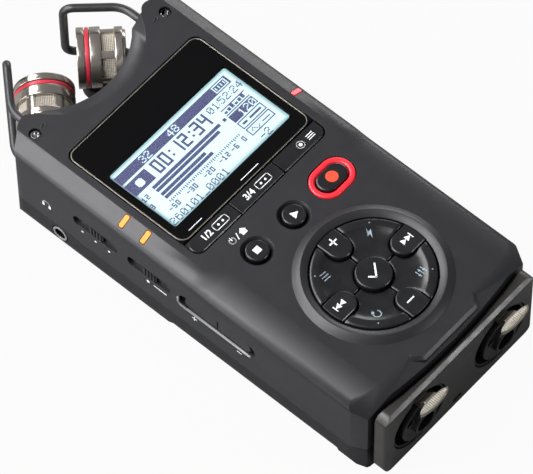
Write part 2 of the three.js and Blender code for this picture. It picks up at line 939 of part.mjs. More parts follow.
const phoneSocketTool = onSide(cylinder(
  phoneSocketRadius + gap, -overrun, sideWall + overrun, along(phoneSocket), height(phoneSocketDepth), 24,
), -1);

const backShell = cutBy(backBlock().intersect(prism(bodyOutline(), -overrun, backTop)), [
  archTool(),
  cavityTool(backFloor, backTop + overrun),
]);
addPiece('rear_shell', cutBy(joined([backShell, bayBlock, ear(-1), ear(1)]), [
  ...bayTools,
  neckTool(),
  phoneSocketTool,
  ...sides.flatMap((side) => [
    earTool(side),
    micPocketTool(side),
    ...guardSocketTools(side),
    ...hornScrewTools(side),
  ]),
]), backPlastic);

const coverRibBars = Array.from({ length: coverRibs }, (_, i) => {
  const y = along(bay - bayHalfLength + bayWall) + i * coverRibPitch;
  return box(
    [-coverRibWidth / 2, y, backRise - coverRibHeight],
    [coverRibWidth / 2, y + coverRibThickness, backRise + coverRibHeight],
  );
});
const coverPlate = prism(coverOutline(0, 0), backRise, backRise + coverThickness, 3);
addPiece('battery_cover', joined([coverPlate, ...coverRibBars]), backPlastic);

const cellBottom = backRise + coverThickness + gap;
const cellEnd = cellLength / 2;
const cell = revolve([
  [0, -cellEnd],
  [cellRadius, -cellEnd],
  [cellRadius, cellEnd],
  [cellNubRadius, cellEnd],
  [cellNubRadius, cellEnd + cellNubLength],
  [0, cellEnd + cellNubLength],
], 20);
sides.forEach((side, i) => {
  const lying = placed(cell, new THREE.Matrix4().makeRotationY(side * quarter));
  const y = along(bay) + side * cellHalfPitch;
  addPiece(`cell_${'ab'[i]}`, moved(lying, 0, y, cellBottom + cellRadius), cellWrap);
  const inner = bayHalfWidth - gap - contactThickness;
  const near = Math.min(side * inner, side * (inner + contactThickness));
  addPiece(`battery_contact_${'ab'[i]}`, box(
    [near, along(bay) - contactHalfWidth, cellBottom + gap],
    [near + contactThickness, along(bay) + contactHalfWidth, cellBottom + contactHeight],
  ), latchSteel);
});

// Jack panel

function panelPlan() {
  const shape = new THREE.Shape();
  const backY = along(bodyEnd + bodyEndBow - grooveWidth);
  shape.moveTo(-panelHalfWidth, backY);
  shape.lineTo(-panelHalfWidth, along(panelEdgeRound));
  shape.quadraticCurveTo(-panelHalfWidth, along(0), -panelHalfWidth + panelEdgeRound, along(0));
  shape.lineTo(panelHalfWidth - panelEdgeRound, along(0));
  shape.quadraticCurveTo(panelHalfWidth, along(0), panelHalfWidth, along(panelEdgeRound));
  shape.lineTo(panelHalfWidth, backY);
  shape.quadraticCurveTo(0, along(bodyEnd - bodyEndBow - grooveWidth), -panelHalfWidth, backY);
  return shape;
}

function jackHoleTool(side) {
  const hole = cylinder(jackHoleRadius, -along(jackEnd), -along(-overrun), 0, 0, wideCircleSteps);
  return moved(standing(hole), side * jackHalfSpacing, 0, height(jackDepth));
}

const latchBottom = height(latchDepth + latchThickness);
const latchRoom = latchBottom - latchTravel - gap;
const latchNotch = (side) => box(
  [side * jackHalfSpacing - latchStemHalfWidth - gap, along(-overrun), latchRoom],
  [side * jackHalfSpacing + latchStemHalfWidth + gap, along(neckEnd + overrun), height(latchDepth) + gap],
);

const panelFace = roundedRectangle(
  -panelHalfWidth, height(panelBottomDepth), panelHalfWidth, height(panelTopDepth), panelCorner,
);
const panelBlock = standing(prism(panelFace, -along(bodyEnd + bodyEndBow), -along(0)))
  .intersect(prism(panelPlan(), 0, faceHeight));
const neckReach = panelHalfWidth - neckInset;
const neck = box(
  [-neckReach, along(bodyEnd / 2), height(panelBottomDepth - neckInset)],
  [neckReach, along(neckEnd), height(panelTopDepth + neckInset)],
);
const strapSlot = box(
  [strapSlotX - strapSlotWidth / 2, along(-overrun), height(strapSlotDepth) - strapSlotHeight / 2],
  [strapSlotX + strapSlotWidth / 2, along(strapSlotReach), height(strapSlotDepth) + strapSlotHeight / 2],
);
addPiece('jack_panel', cutBy(panelBlock.add(neck), [
  beyond([0, along(panelChamfer), height(panelTopDepth)], [0, -1, 1]),
  ...sides.flatMap((side) => [jackHoleTool(side), latchNotch(side)]),
  strapSlot,
]), shellPlastic);

// Drawn with its front upwards, about its own axis.
function comboJack(side) {
  const front = -along(jackStart);
  const back = -along(jackEnd);
  const outer = jackHoleRadius - gap;
  const above = front + overrun;
  const groove = revolve([
    [jackPlugRadius, front - jackGrooveLength],
    [jackRingInner, front - jackGrooveLength],
    [jackRingInner, above],
    [jackPlugRadius, above],
  ], wideCircleSteps);
  const pins = pinAngles.map((degrees) => {
    const angle = THREE.MathUtils.degToRad(degrees);
    const [x, y] = [pinCircle * Math.cos(angle), pinCircle * Math.sin(angle)];
    return cylinder(pinBoreRadius, front - pinBoreLength, above, x, y, 12);
  });
  const notch = box(
    [-latchStemHalfWidth - gap, latchRoom - height(jackDepth), back - overrun],
    [latchStemHalfWidth + gap, outer + overrun, above],
  );
  const body = cutBy(cylinder(outer, back, front, 0, 0, wideCircleSteps), [
    groove,
    cylinder(jackRingInner, front - jackRecess, above, 0, 0, wideCircleSteps),
    cylinder(phoneBoreRadius, front - phoneBoreLength, above, 0, 0, 24),
    ...pins,
    notch,
  ]);
  return moved(standing(body), side * jackHalfSpacing, 0, height(jackDepth));
}

function latch(side) {
  const root = -along(-gap);
  const lens = new THREE.Shape();
  lens.moveTo(-latchHalfWidth, root);
  lens.quadraticCurveTo(0, root + 2 * latchReach, latchHalfWidth, root);
  const tab = prism(lens, latchBottom, height(latchDepth), 12);
  const stem = box(
    [-latchStemHalfWidth, -along(latchStemEnd), latchBottom],
    [latchStemHalfWidth, root + gap, height(latchDepth)],
  );
  const flipped = placed(tab.add(stem), new THREE.Matrix4().makeScale(1, -1, 1));
  return moved(flipped, side * jackHalfSpacing, 0, 0);
}

sides.forEach((side, i) => {
  addPiece(`combo_jack_${sideNames[i]}`, comboJack(side), jackPlastic);
  addPiece(`latch_${sideNames[i]}`, latch(side), latchSteel);
});

// Display

const windowOutline = roundedRectangle(
  -windowHalfWidth, along(windowBottom), windowHalfWidth, along(windowTop), windowCorner,
);
const windowFoot = box(
  [-windowHalfWidth, along(windowBottom), height(windowThickness)],
  [windowHalfWidth, along(windowBottom + windowCorner), height(windowChamfer)],
);
const lcdOpening = box(
  [-lcdHalfWidth - gap, along(lcdBottom - gap), 0],
  [lcdHalfWidth + gap, along(lcdTop + gap), faceHeight + overrun],
);
const windowPlate = chamferedPrism(windowOutline, height(windowThickness), faceHeight, windowChamfer);
addPiece('display_window', windowPlate.add(windowFoot).subtract(lcdOpening), glossBlack);
addPiece('lcd_panel', prism(roundedRectangle(
  -lcdHalfWidth, along(lcdBottom), lcdHalfWidth, along(lcdTop), lcdCorner,
), height(lcdModuleDepth), height(lcdRecess), 3), lcdGlass);

// Keys

const keyBottom = height(keyBottomDepth);
const stripPitch = (2 * windowHalfWidth + stripGap) / 3;
const stripPlate = chamferedPrism(roundedRectangle(
  -windowHalfWidth, along(stripBottom), windowHalfWidth, along(stripTop), stripCorner,
), keyBottom, faceHeight + stripProud, keyChamfer);
const stripHead = box(
  [-windowHalfWidth, along(stripTop - stripCorner), keyBottom],
  [windowHalfWidth, along(stripTop), faceHeight - keyChamfer],
);
const strip = stripPlate.add(stripHead);
['track_key_a', 'track_key_b', 'mode_key'].forEach((name, i) => {
  const left = -windowHalfWidth + i * stripPitch;
  addPiece(name, strip.intersect(box(
    [left, along(stripBottom - overrun), 0],
    [left + stripPitch - stripGap, along(stripTop + overrun), faceHeight + overrun],
  )), keyPlastic);
});

function roundKey(radius, proud, x, station) {
  const top = faceHeight + proud;
  return moved(revolve([
    [0, keyBottom],
    [radius, keyBottom],
    [radius, top - keyChamfer],
    [radius - keyChamfer, top],
    [0, top],
  ]), x, along(station), 0);
}

addPiece('stop_key', roundKey(roundKeyRadius, roundKeyProud, stopKeyX, roundKeyRow), keyPlastic);
addPiece('play_key', roundKey(roundKeyRadius, roundKeyProud, playKeyX, roundKeyRow), keyPlastic);
addPiece('centre_key', roundKey(centreKeyRadius, centreKeyProud, 0, keypad), keyPlastic);
addPiece('rec_key', chamferedPrism(recOutline(0), keyBottom, faceHeight + recProud, keyChamfer, 10), keyPlastic);
addPiece('rec_light_ring', chamferedPrism(
  recOutline(recRingReach), height(recRingThickness), faceHeight + recRingProud, keyChamfer, 10,
).subtract(prism(recOutline(keyGap), 0, faceHeight + overrun, 10)), redLens);

// The keypad has four keys on its axes, and four dished ones between them.
function petalOutline(margin) {
  const halfHeight = petalHalfWidth + margin;
  const shape = new THREE.Shape();
  shape.moveTo(ringFoot, halfHeight);
  shape.lineTo(petalInner + petalHalfWidth, halfHeight);
  shape.absarc(petalInner + petalHalfWidth, 0, halfHeight, quarter, 3 * quarter);
  shape.lineTo(ringFoot, -halfHeight);
  return shape;
}

const aboveKeys = faceHeight + 2 * petalProud;
const padDisc = cylinder(padKeyRadius, 0, aboveKeys, 0, 0, wideCircleSteps);
const petal = chamferedPrism(petalOutline(0), keyBottom, faceHeight + petalProud, keyChamfer).intersect(padDisc);
['forward_key', 'plus_key', 'back_key', 'minus_key'].forEach((name, i) => {
  addPiece(name, moved(turned(petal, i * quarter), 0, along(keypad), 0), keyPlastic);
});

const sectorInner = centreKeyRadius + keyGap;
const padRing = revolve([
  [sectorInner, keyBottom],
  [padKeyRadius, keyBottom],
  [padKeyRadius, faceHeight + sectorDishProud],
  [(padKeyRadius + sectorDishOuter) / 2, faceHeight + sectorRimProud],
  [sectorDishOuter, faceHeight + sectorRimProud],
  [(sectorDishInner + 2 * sectorDishOuter) / 3, faceHeight + sectorDishProud],
  [(2 * sectorDishInner + sectorDishOuter) / 3, faceHeight + sectorDishProud],
  [sectorDishInner, faceHeight + sectorRimProud],
  [sectorInner, faceHeight + sectorRimProud],
], wideCircleSteps);
const petalTool = prism(petalOutline(keyGap), 0, aboveKeys);
const corner = box([keyGap / 2, keyGap / 2, 0], [ringFoot, ringFoot, aboveKeys]);
const sector = cutBy(padRing.intersect(corner), [petalTool, turned(petalTool, quarter)]);
['corner_key_a', 'corner_key_b', 'corner_key_c', 'corner_key_d'].forEach((name, i) => {
  addPiece(name, moved(turned(sector, i * quarter), 0, along(keypad), 0), keyPlastic);
});

// Lamps

trackLamps.forEach((station, i) => {
  addPiece(`track_lamp_${'ab'[i]}`, lamp(-1, station, 0), amberLens);
});
addPiece('peak_lamp', lamp(1, peakLamp, 0), redLens);

// Left side

function switchKnob(station) {
  const half = switchHeight / 2 - gap;
  const centre = height(switchDepth);
  const plate = prism(roundedRectangle(
    along(station) - knobLength / 2, centre - half, along(station) + knobLength / 2, centre + half, half / 2,
  ), knobInset, switchReach - gap, 3);
  const ribs = Array.from({ length: knobRibs }, (_, i) => {
    const x = along(station) + (i - (knobRibs - 1) / 2) * knobRibPitch;
    return box(
      [x - knobRibWidth / 2, centre - half + gap, knobInset - knobRibHeight],
      [x + knobRibWidth / 2, centre + half - gap, switchReach - gap],
    );
  });
  const stem = box(
    [along(station) - stemHalfLength, centre - stemHalfHeight, knobInset + gap],
    [along(station) + stemHalfLength, centre + stemHalfHeight, sideWall + 2 * overrun],
  );
  return onSide(joined([plate, ...ribs, stem]), -1);
}

addPiece('input_switch', switchKnob(inputSwitch), keyPlastic);
addPiece('hold_switch', switchKnob(holdSwitch), keyPlastic);

const rockerPlate = prism(
  slotOutline(rocker, rockerDepth, rockerLength, rockerHeight), rockerInset, rockerInset + rockerThickness, 5,
);
const rockerGroove = box(
  [along(rocker) - keyGap / 2, height(rockerDepth) - rockerHeight, rockerInset - overrun],
  [along(rocker) + keyGap / 2, height(rockerDepth) + rockerHeight, rockerInset + rockerNotch],
);
const rockerPin = cylinder(
  (rockerPocketReach - rockerInset - rockerThickness) / 2,
  height(rockerDepth) - rockerHeight / 2 + gap, height(rockerDepth) + rockerHeight / 2 - gap,
  -halfWidth + rockerInset + rockerThickness, along(rocker), smallCircleSteps,
);
addPiece('level_rocker', onSide(rockerPlate.subtract(rockerGroove), -1).add(rockerPin), keyPlastic);

const phoneY = along(phoneSocket);
const phoneZ = height(phoneSocketDepth);
const phoneBarrel = cylinder(phoneSocketRadius, 0, sideWall + overrun, phoneY, phoneZ, 24);
const phoneBody = box(
  [phoneY - phoneSocketBodyHalf, phoneZ - phoneSocketBodyHalf, sideWall + gap],
  [phoneY + phoneSocketBodyHalf, phoneZ + phoneSocketBodyHalf, phoneSocketLength],
);
const phoneBore = cylinder(phoneSocketBore, -overrun, phoneSocketLength - wall, phoneY, phoneZ, 24);
addPiece('headphone_socket', onSide(phoneBarrel.add(phoneBody).subtract(phoneBore), -1), jackPlastic);

// Right side

const doorCentre = height(cardDoorDepth);
const doorEndRound = cardDoorThickness / 2;
const hingeY = along(cardDoor - cardDoorLength / 2) + doorEndRound;
const doorPlate = box(
  [hingeY, doorCentre - cardDoorHeight / 2, 0],
  [along(cardDoor + cardDoorLength / 2), doorCentre + cardDoorHeight / 2, cardDoorThickness],
);
const doorHinge = cylinder(
  doorEndRound, doorCentre - cardDoorHeight / 2, doorCentre + cardDoorHeight / 2,
  halfWidth - doorEndRound, hingeY, smallCircleSteps,
);
addPiece('card_door', onSide(doorPlate, 1).add(doorHinge), backPlastic);

const socketHalfLength = cardSlotLength / 2 + cardSocketWall;
const socketHalfHeight = cardSlotHeight / 2 + cardSocketWall;
addPiece('card_socket', box(
  [cardSocketStart, along(cardDoor) - socketHalfLength, doorCentre - socketHalfHeight],
  [cavityHalfWidth - gap, along(cardDoor) + socketHalfLength, doorCentre + socketHalfHeight],
).subtract(box(
  [cardSocketStart + cardSocketWall, along(cardDoor) - cardSlotLength / 2, doorCentre - cardSlotHeight / 2],
  [halfWidth, along(cardDoor) + cardSlotLength / 2, doorCentre + cardSlotHeight / 2],
)), latchSteel);

// Screws in the horns

function hornScrewSolid(side) {
  const under = height(screwRecessDepth) + gap;
  const top = under + screwHeadHeight;
  const arm = (long, across) => box([-long, -across, top - screwCrossDepth], [long, across, top + overrun]);
  const screw = cutBy(revolve([
    [0, height(screwEndDepth)],
    [screwShankRadius, height(screwEndDepth)],
    [screwShankRadius, under],
    [screwHeadRadius, under],
    [screwHeadRadius, top - screwCross],
    [screwHeadRadius - screwCross, top],
    [0, top],
  ], smallCircleSteps), [arm(screwCrossReach, screwCross), arm(screwCross, screwCrossReach)]);
  return moved(screw, side * hornScrewX, along(hornScrew), 0);
}

// Microphones: drawn z runs along the capsule, and drawn y up.

function micPlacement(side) {
  const { x, y } = micPivot(side);
  const ahead = new THREE.Vector3(-side * Math.SQRT1_2, Math.SQRT1_2, 0);
  const up = new THREE.Vector3(0, 0, 1);
  const matrix = new THREE.Matrix4().makeBasis(up.clone().cross(ahead), up, ahead);
  matrix.setPosition(x, y, height(micDepth));
  return matrix;
}

function aroundAxis(count, makeTool) {
  return Array.from({ length: count }, (_, i) => turned(makeTool(), (4 * quarter * i) / count));
}

const micHousing = joined([
  revolve([
    [0, micTail],
    [micTailRadius - micEdge, micTail],
    [micTailRadius, micTail + micEdge],
    [micTailRadius, micFlangeStart],
    [micFlangeRadius - micEdge, micFlangeStart],
    [micFlangeRadius, micFlangeStart + micEdge],
    [micFlangeRadius, micCageStart],
    [micCoreRadius, micCageStart],
    [micCoreRadius, micRimStart],
    [micRadius - micEdge, micRimStart],
    [micRadius, micRimStart + micEdge],
    [micRadius, micRedStart - gap],
    [micNeckRadius, micRedStart - gap],
    [micNeckRadius, micCapStart + micCapBack],
    [0, micCapStart + micCapBack],
  ]),
  ...aroundAxis(micPillars, () => box(
    [micCoreRadius - micEdge, -micPillarWidth / 2, micCageStart - micEdge],
    [micPillarRadius, micPillarWidth / 2, micRimStart + micEdge],
  )),
]);
const micRedRing = revolve([
  [micNeckRadius + gap, micRedStart],
  [micRadius - micRedInset, micRedStart],
  [micRadius - micRedInset, micRedEnd - gap / 2],
  [micNeckRadius + gap, micRedEnd - gap / 2],
]);
const micCap = cutBy(revolve([
  [micNeckRadius + gap, micCapStart],
  [micRadius, micCapStart],
  [micRadius, micFront - micEdge],
  [micRadius - micEdge, micFront],
  [micCapInner, micFront],
  [micCapInner, micCapStart + micCapBack],
  [micNeckRadius + gap, micCapStart + micCapBack],
]), aroundAxis(micNotches, () => box(
  [micCapInner - overrun, -micNotchWidth / 2, micFront - micNotchDepth],
  [micRadius + overrun, micNotchWidth / 2, micFront + overrun],
)));
const micGrille = revolve([
  [0, micCapStart + micCapBack + gap],
  [micCapInner - gap, micCapStart + micCapBack + gap],
  [micCapInner - gap, micGrilleFront - micGrilleDome],
  [micCapInner / 2, micGrilleFront],
  [0, micGrilleFront],
]);

function micFoot(side) {
  const { x, y } = micPivot(side);
  const flange = height(earTopDepth) + gap;
  const foot = revolve([
    [0, height(earBottomDepth)],
    [footPinRadius, height(earBottomDepth)],
    [footPinRadius, flange],
    [footFlangeRadius, flange],
    [footFlangeRadius, flange + footFlangeHeight],
    [footRadius, flange + footFlangeHeight],
    [footRadius, height(micDepth) - micNeckRadius],
    [0, height(micDepth) - micNeckRadius],
  ]);
  const saddle = placed(cylinder(micRadius + gap, -bodyWidth, bodyWidth), micPlacement(side));
  return moved(foot, x, y, 0).subtract(saddle);
}

sides.forEach((side, i) => {
  const placement = micPlacement(side);
  addPiece(`horn_screw_${sideNames[i]}`, hornScrewSolid(side), screwSteel);
  addPiece(`guard_${sideNames[i]}`, guard(side), guardSteel);
  addPiece(`mic_foot_${sideNames[i]}`, micFoot(side), guardSteel);
  addPiece(`mic_housing_${sideNames[i]}`, placed(micHousing, placement), micSteel);
  addPiece(`mic_red_ring_${sideNames[i]}`, placed(micRedRing, placement), redBand);
  addPiece(`mic_cap_${sideNames[i]}`, placed(micCap, placement), micSteel);
  addPiece(`mic_grille_${sideNames[i]}`, placed(micGrille, placement), micMesh);
});

// Inside

const boardTop = height(boardDepth);
addPiece('main_board', prism(roundedRectangle(
  -boardHalfWidth, along(boardStart), boardHalfWidth, along(boardEnd), cavityCorner,
), boardTop - boardThickness, boardTop, 3), boardLaminate);

const petalMiddle = (petalInner + padKeyRadius) / 2;
const cornerMiddle = petalMiddle * Math.SQRT1_2;
const stripMiddle = (stripTop + stripBottom) / 2;
const domePlaces = [
  [0, keypad],
  ...sides.flatMap((side) => [[side * petalMiddle, keypad], [0, keypad + side * petalMiddle]]),
  ...sides.flatMap((side) => sides.map((end) => [side * cornerMiddle, keypad + end * cornerMiddle])),
  ...[stopKeyX, playKeyX, recKeyX].map((x) => [x, roundKeyRow]),
  ...[-1, 0, 1].map((place) => [place * stripPitch, stripMiddle]),
];
const matTop = boardTop + gap + matThickness;
const mat = box(
  [-matHalfWidth, along(matStart), boardTop + gap],
  [matHalfWidth, along(matEnd), matTop],
);
const domes = domePlaces.map(([x, station]) => cylinder(
  domeRadius, matTop - gap, keyBottom - keyTravel - gap / 2, x, along(station), smallCircleSteps / 2, domeRadius / 2,
));
addPiece('key_mat', joined([mat, ...domes]), matRubber);

export default recorder;
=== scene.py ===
# Looks of a handheld recorder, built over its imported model.
# Lengths are in millimetres until a mesh is made, and in metres in nodes, lights
# and the camera. The frame is the model's: +X to the right of the face, +Y towards
# the microphones, +Z out of the face.

import json
import math

import bmesh
import bpy
from mathutils import Matrix, Vector


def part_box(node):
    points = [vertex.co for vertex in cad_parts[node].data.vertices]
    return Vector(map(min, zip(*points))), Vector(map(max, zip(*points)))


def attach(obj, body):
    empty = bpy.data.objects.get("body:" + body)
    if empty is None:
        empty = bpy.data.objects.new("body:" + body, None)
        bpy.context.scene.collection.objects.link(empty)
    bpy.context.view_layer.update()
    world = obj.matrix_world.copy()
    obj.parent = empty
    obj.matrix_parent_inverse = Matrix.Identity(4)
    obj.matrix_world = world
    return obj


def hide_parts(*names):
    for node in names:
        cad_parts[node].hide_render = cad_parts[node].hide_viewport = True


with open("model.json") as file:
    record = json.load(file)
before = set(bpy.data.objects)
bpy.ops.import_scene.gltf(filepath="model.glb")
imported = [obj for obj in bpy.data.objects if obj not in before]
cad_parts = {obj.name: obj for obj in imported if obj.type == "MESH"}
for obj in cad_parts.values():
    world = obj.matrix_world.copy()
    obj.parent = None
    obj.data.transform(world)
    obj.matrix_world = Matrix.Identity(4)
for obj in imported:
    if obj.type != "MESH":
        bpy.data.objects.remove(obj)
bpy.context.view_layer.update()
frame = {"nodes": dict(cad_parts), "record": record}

MM = 0.001
BODY_OF = {
    node: body
    for body, nodes in frame["record"]["behaviour"]["bodies"].items()
    for node in nodes
}

# Places on the model, as its source has them
FACE_HEIGHT = 34.0
HALF_WIDTH = 35.0
BOX_CENTRE = 77.4
KEYPAD = 31.6
ROUND_KEY_ROW = 60.65
STOP_KEY_X = -15.2
REC_KEY_X = 16.15
SIDES = ((-1, "left"), (1, "right"))


def along(station):
    """The model's Y of a station, counted from the jack panel's face."""
    return station - BOX_CENTRE


def height(depth):
    """The model's Z of a depth below the face."""
    return FACE_HEIGHT - depth


# Materials


def tone(red, green, blue):
    """A colour as it looks on a screen, from 0 to 255, as a shader's colour."""
    def channel(value):
        share = value / 255
        return share / 12.92 if share < 0.04045 else ((share + 0.055) / 1.055) ** 2.4
    return (channel(red), channel(green), channel(blue), 1.0)


def feed(tree, node, inputs):
    """Gives a node's inputs their values, or links them to other nodes' outputs."""
    for key, value in inputs.items():
        if isinstance(value, bpy.types.NodeSocket):
            tree.links.new(value, node.inputs[key])
        else:
            node.inputs[key].default_value = value
    return node


def maths(tree, operation, first, second):
    """A maths node's result, from two sockets or numbers."""
    node = tree.nodes.new("ShaderNodeMath")
    node.operation = operation
    return feed(tree, node, {0: first, 1: second}).outputs[0]


def map_range(tree, value, source, target, interpolation="LINEAR"):
    """A socket's values, taken from one range to another."""
    node = tree.nodes.new("ShaderNodeMapRange")
    node.interpolation_type = interpolation
    return feed(tree, node, {
        "Value": value, "From Min": source[0], "From Max": source[1],
        "To Min": target[0], "To Max": target[1],
    }).outputs["Result"]


class Surface:
    """A procedural material: two tones mixed by noise, a roughness that varies by
    `wander`, a fine grain and edges that catch the light. `mottle` and `grain` are
    scales of noise, and `grain_depth` and `edge` are in millimetres."""

    NOISE_MIDDLE = (0.3, 0.7)
    SMOOTHEST = 0.02
    EDGE_SAMPLES = 4

    def __init__(self, name, dark, light, roughness, metallic, specular, mottle, grain,
                 grain_depth, edge, grain_strength=0.3, wander=0.06):
        self.material = bpy.data.materials.new(name)
        self.material.use_nodes = True
        self.tree = self.material.node_tree
        self.shader = self.tree.nodes["Principled BSDF"]
        self.place = self.add("ShaderNodeTexCoord", {}).outputs["Object"]

        self.colour = self.mix(self.noise(mottle, 3.0), tone(*dark), tone(*light))
        rough = map_range(
            self.tree, self.noise(mottle * 3, 4.0), self.NOISE_MIDDLE,
            (max(self.SMOOTHEST, roughness - wander), roughness + wander),
        )
        bump = self.add("ShaderNodeBump", {
            "Strength": grain_strength, "Distance": grain_depth * MM,
            "Height": self.noise(grain, 2.0),
        })
        if edge > 0:
            soft = self.add("ShaderNodeBevel", {"Radius": edge * MM})
            soft.samples = self.EDGE_SAMPLES
            feed(self.tree, bump, {"Normal": soft.outputs["Normal"]})
        feed(self.tree, self.shader, {
            "Base Color": self.colour, "Metallic": metallic, "Roughness": rough,
            "Specular IOR Level": specular, "Normal": bump.outputs["Normal"],
        })

    def add(self, kind, inputs):
        return feed(self.tree, self.tree.nodes.new(kind), inputs)

    def noise(self, scale, detail):
        inputs = {"Scale": scale, "Detail": detail, "Vector": self.place}
        return self.add("ShaderNodeTexNoise", inputs).outputs["Fac"]

    def mix(self, factor, first, second):
        """Mixes two colours, or sockets, by a socket."""
        node = self.add("ShaderNodeMix", {})
        node.data_type = "RGBA"
        return feed(self.tree, node, {"Factor": factor, 6: first, 7: second}).outputs[2]

    def glow(self, colour, strength):
        feed(self.tree, self.shader, {
            "Emission Color": tone(*colour), "Emission Strength": strength,
        })


# Name, dark and light tone, roughness, metal, gloss, scales of the mottle and the grain,
# depth of the grain, soft edge; for some also the grain's strength and the wander
MATERIALS = (
    ("shell", (27, 27, 31), (33, 33, 37), 0.42, 0.0, 0.5, 90, 3200, 0.05, 0.14, 0.35, 0.02),
    ("back", (22, 22, 25), (28, 28, 32), 0.5, 0.0, 0.3, 90, 3000, 0.05, 0.25, 0.4, 0.02),
    ("panel", (42, 40, 39), (50, 48, 46), 0.34, 0.0, 0.5, 90, 2800, 0.05, 0.3, 0.35),
    ("gloss", (5, 5, 6), (8, 8, 9), 0.14, 0.0, 0.2, 60, 600, 0.002, 0.1, 0.3, 0.03),
    ("lcd", (186, 211, 219), (194, 218, 226), 0.3, 0.0, 0.25, 900, 4000, 0.004, 0),
    # The pale tone below is a painted highlight on the rocker's lip; it also colours the
    # headphone collar.
    ("pale_trim_and_painted_highlight", (120, 120, 122), (134, 134, 136), 0.36, 0.0, 0.5, 300, 2600, 0.01, 0.1),
    ("keys", (18, 18, 20), (24, 24, 26), 0.3, 0.0, 0.5, 90, 3600, 0.02, 0.06),
    ("red_lens", (214, 34, 48), (228, 48, 58), 0.28, 0.0, 0.5, 300, 900, 0.01, 0.1),
    ("amber_lens", (228, 128, 8), (236, 140, 14), 0.5, 0.0, 0.5, 500, 900, 0.01, 0.1),
    ("socket", (9, 9, 10), (15, 15, 16), 0.34, 0.0, 0.4, 90, 2400, 0.03, 0.15),
    ("bright", (150, 145, 134), (184, 178, 166), 0.34, 1.0, 0.5, 120, 2600, 0.004, 0.15),
    ("screw", (132, 132, 136), (172, 172, 176), 0.28, 1.0, 0.5, 900, 3000, 0.01, 0.1),
    ("guard", (40, 40, 42), (48, 48, 50), 0.38, 0.3, 0.6, 200, 2600, 0.01, 0),
    ("mic_metal", (172, 164, 156), (184, 176, 168), 0.2, 0.92, 0.5, 60, 2200, 0.003, 0.12),
    ("red_band", (186, 40, 58), (206, 58, 76), 0.4, 0.2, 0.5, 200, 2400, 0.01, 0.1),
    ("mesh", (206, 198, 186), (232, 226, 214), 0.4, 0.5, 0.5, 700, 3000, 0.01, 0),
    ("board", (18, 64, 42), (30, 92, 60), 0.35, 0.0, 0.5, 700, 1400, 0.04, 0.12),
    ("mat", (84, 84, 88), (96, 96, 100), 0.8, 0.0, 0.3, 300, 2600, 0.05, 0.12),
    ("cell", (96, 100, 105), (112, 116, 121), 0.35, 0.3, 0.5, 160, 1200, 0.02, 0.12),
    ("print", (226, 228, 228), (238, 240, 240), 0.5, 0.0, 0.3, 900, 4000, 0.004, 0),
    ("print_grey", (128, 142, 152), (146, 160, 170), 0.5, 0.0, 0.3, 900, 4000, 0.004, 0),
    ("print_red", (214, 66, 40), (228, 82, 54), 0.5, 0.0, 0.3, 900, 4000, 0.004, 0),
    ("ink", (64, 64, 98), (76, 76, 112), 0.4, 0.0, 0.2, 1500, 4000, 0.002, 0),
    ("dark", (20, 19, 19), (30, 28, 27), 0.7, 0.0, 0.2, 900, 3000, 0.02, 0),
)
surfaces = {row[0]: Surface(*row) for row in MATERIALS}
surfaces["red_lens"].glow((240, 40, 52), 0.25)
surfaces["amber_lens"].glow((255, 150, 10), 0.12)

# Painted shade: the display's border fades to this cooler grey over this width.
DISPLAY_BORDER = 1.6
DISPLAY_EDGE_SHADE_TONE = (128, 158, 164)


def paint_display_edge_shade():
    """Painted shade: the display's colour falls off to a cooler grey along its border,
    where its backlight is dimmer.
    """
    lcd = surfaces["lcd"]
    low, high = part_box("lcd_panel")
    nearest = None
    split = lcd.add("ShaderNodeSeparateXYZ", {0: lcd.place})
    for name, index in (("X", 0), ("Y", 1)):
        place = split.outputs[name]
        for edge, sign in ((low[index], 1.0), (high[index], -1.0)):
            beyond = maths(lcd.tree, "SUBTRACT", place, edge)
            inwards = maths(lcd.tree, "MULTIPLY", beyond, sign)
            if nearest is not None:
                inwards = maths(lcd.tree, "MINIMUM", nearest, inwards)
            nearest = inwards
    fall = map_range(lcd.tree, nearest, (0, DISPLAY_BORDER * MM), (0, 1), "SMOOTHSTEP")
    lit = lcd.mix(fall, tone(*DISPLAY_EDGE_SHADE_TONE), lcd.colour)
    feed(lcd.tree, lcd.shader, {"Base Color": lit})


paint_display_edge_shade()

# Mesh helpers


def piece(name, part, surface, body="housing", smooth=True, sharp=None, stands_for=None):
    """A new mesh piece from points and faces in millimetres, riding on a body. Edges
    of more than `sharp` degrees are drawn sharp."""
    points, faces = part
    mesh = bpy.data.meshes.new(name)
    mesh.from_pydata([Vector(point) * MM for point in points], [], faces)
    tidy = bmesh.new()
    tidy.from_mesh(mesh)
    bmesh.ops.recalc_face_normals(tidy, faces=tidy.faces)
    tidy.to_mesh(mesh)
    tidy.free()
    mesh.polygons.foreach_set("use_smooth", [smooth] * len(mesh.polygons))
    if sharp is not None:
        mesh.set_sharp_from_angle(angle=math.radians(sharp))
    return finished(name, mesh, surface, body, stands_for)


def finished(name, mesh, surface, body, stands_for):
    """A mesh as an object with its material, its body and the node that it replaces."""
    mesh.materials.append(surfaces[surface].material)
    made = bpy.data.objects.new(name, mesh)
    bpy.context.scene.collection.objects.link(made)
    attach(made, body)
    if stands_for:
        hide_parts(stands_for)
    return made


BEVEL_SEGMENTS = 2
BEVEL_ANGLE = 28
FLAT_WEIGHT = 80
SHARP_ANGLE = 38
SAME_PLACE = 0.0005
SAME_PLANE = 0.6


def soften(made, width):
    """Rounds a piece's edges and keeps its flats flat."""
    if width > 0:
        bevel = made.modifiers.new("edges", "BEVEL")
        bevel.width = width * MM
        bevel.segments = BEVEL_SEGMENTS
        bevel.limit_method = "ANGLE"
        bevel.angle_limit = math.radians(BEVEL_ANGLE)
    normals = made.modifiers.new("normals", "WEIGHTED_NORMAL")
    normals.weight = FLAT_WEIGHT
    normals.keep_sharp = True


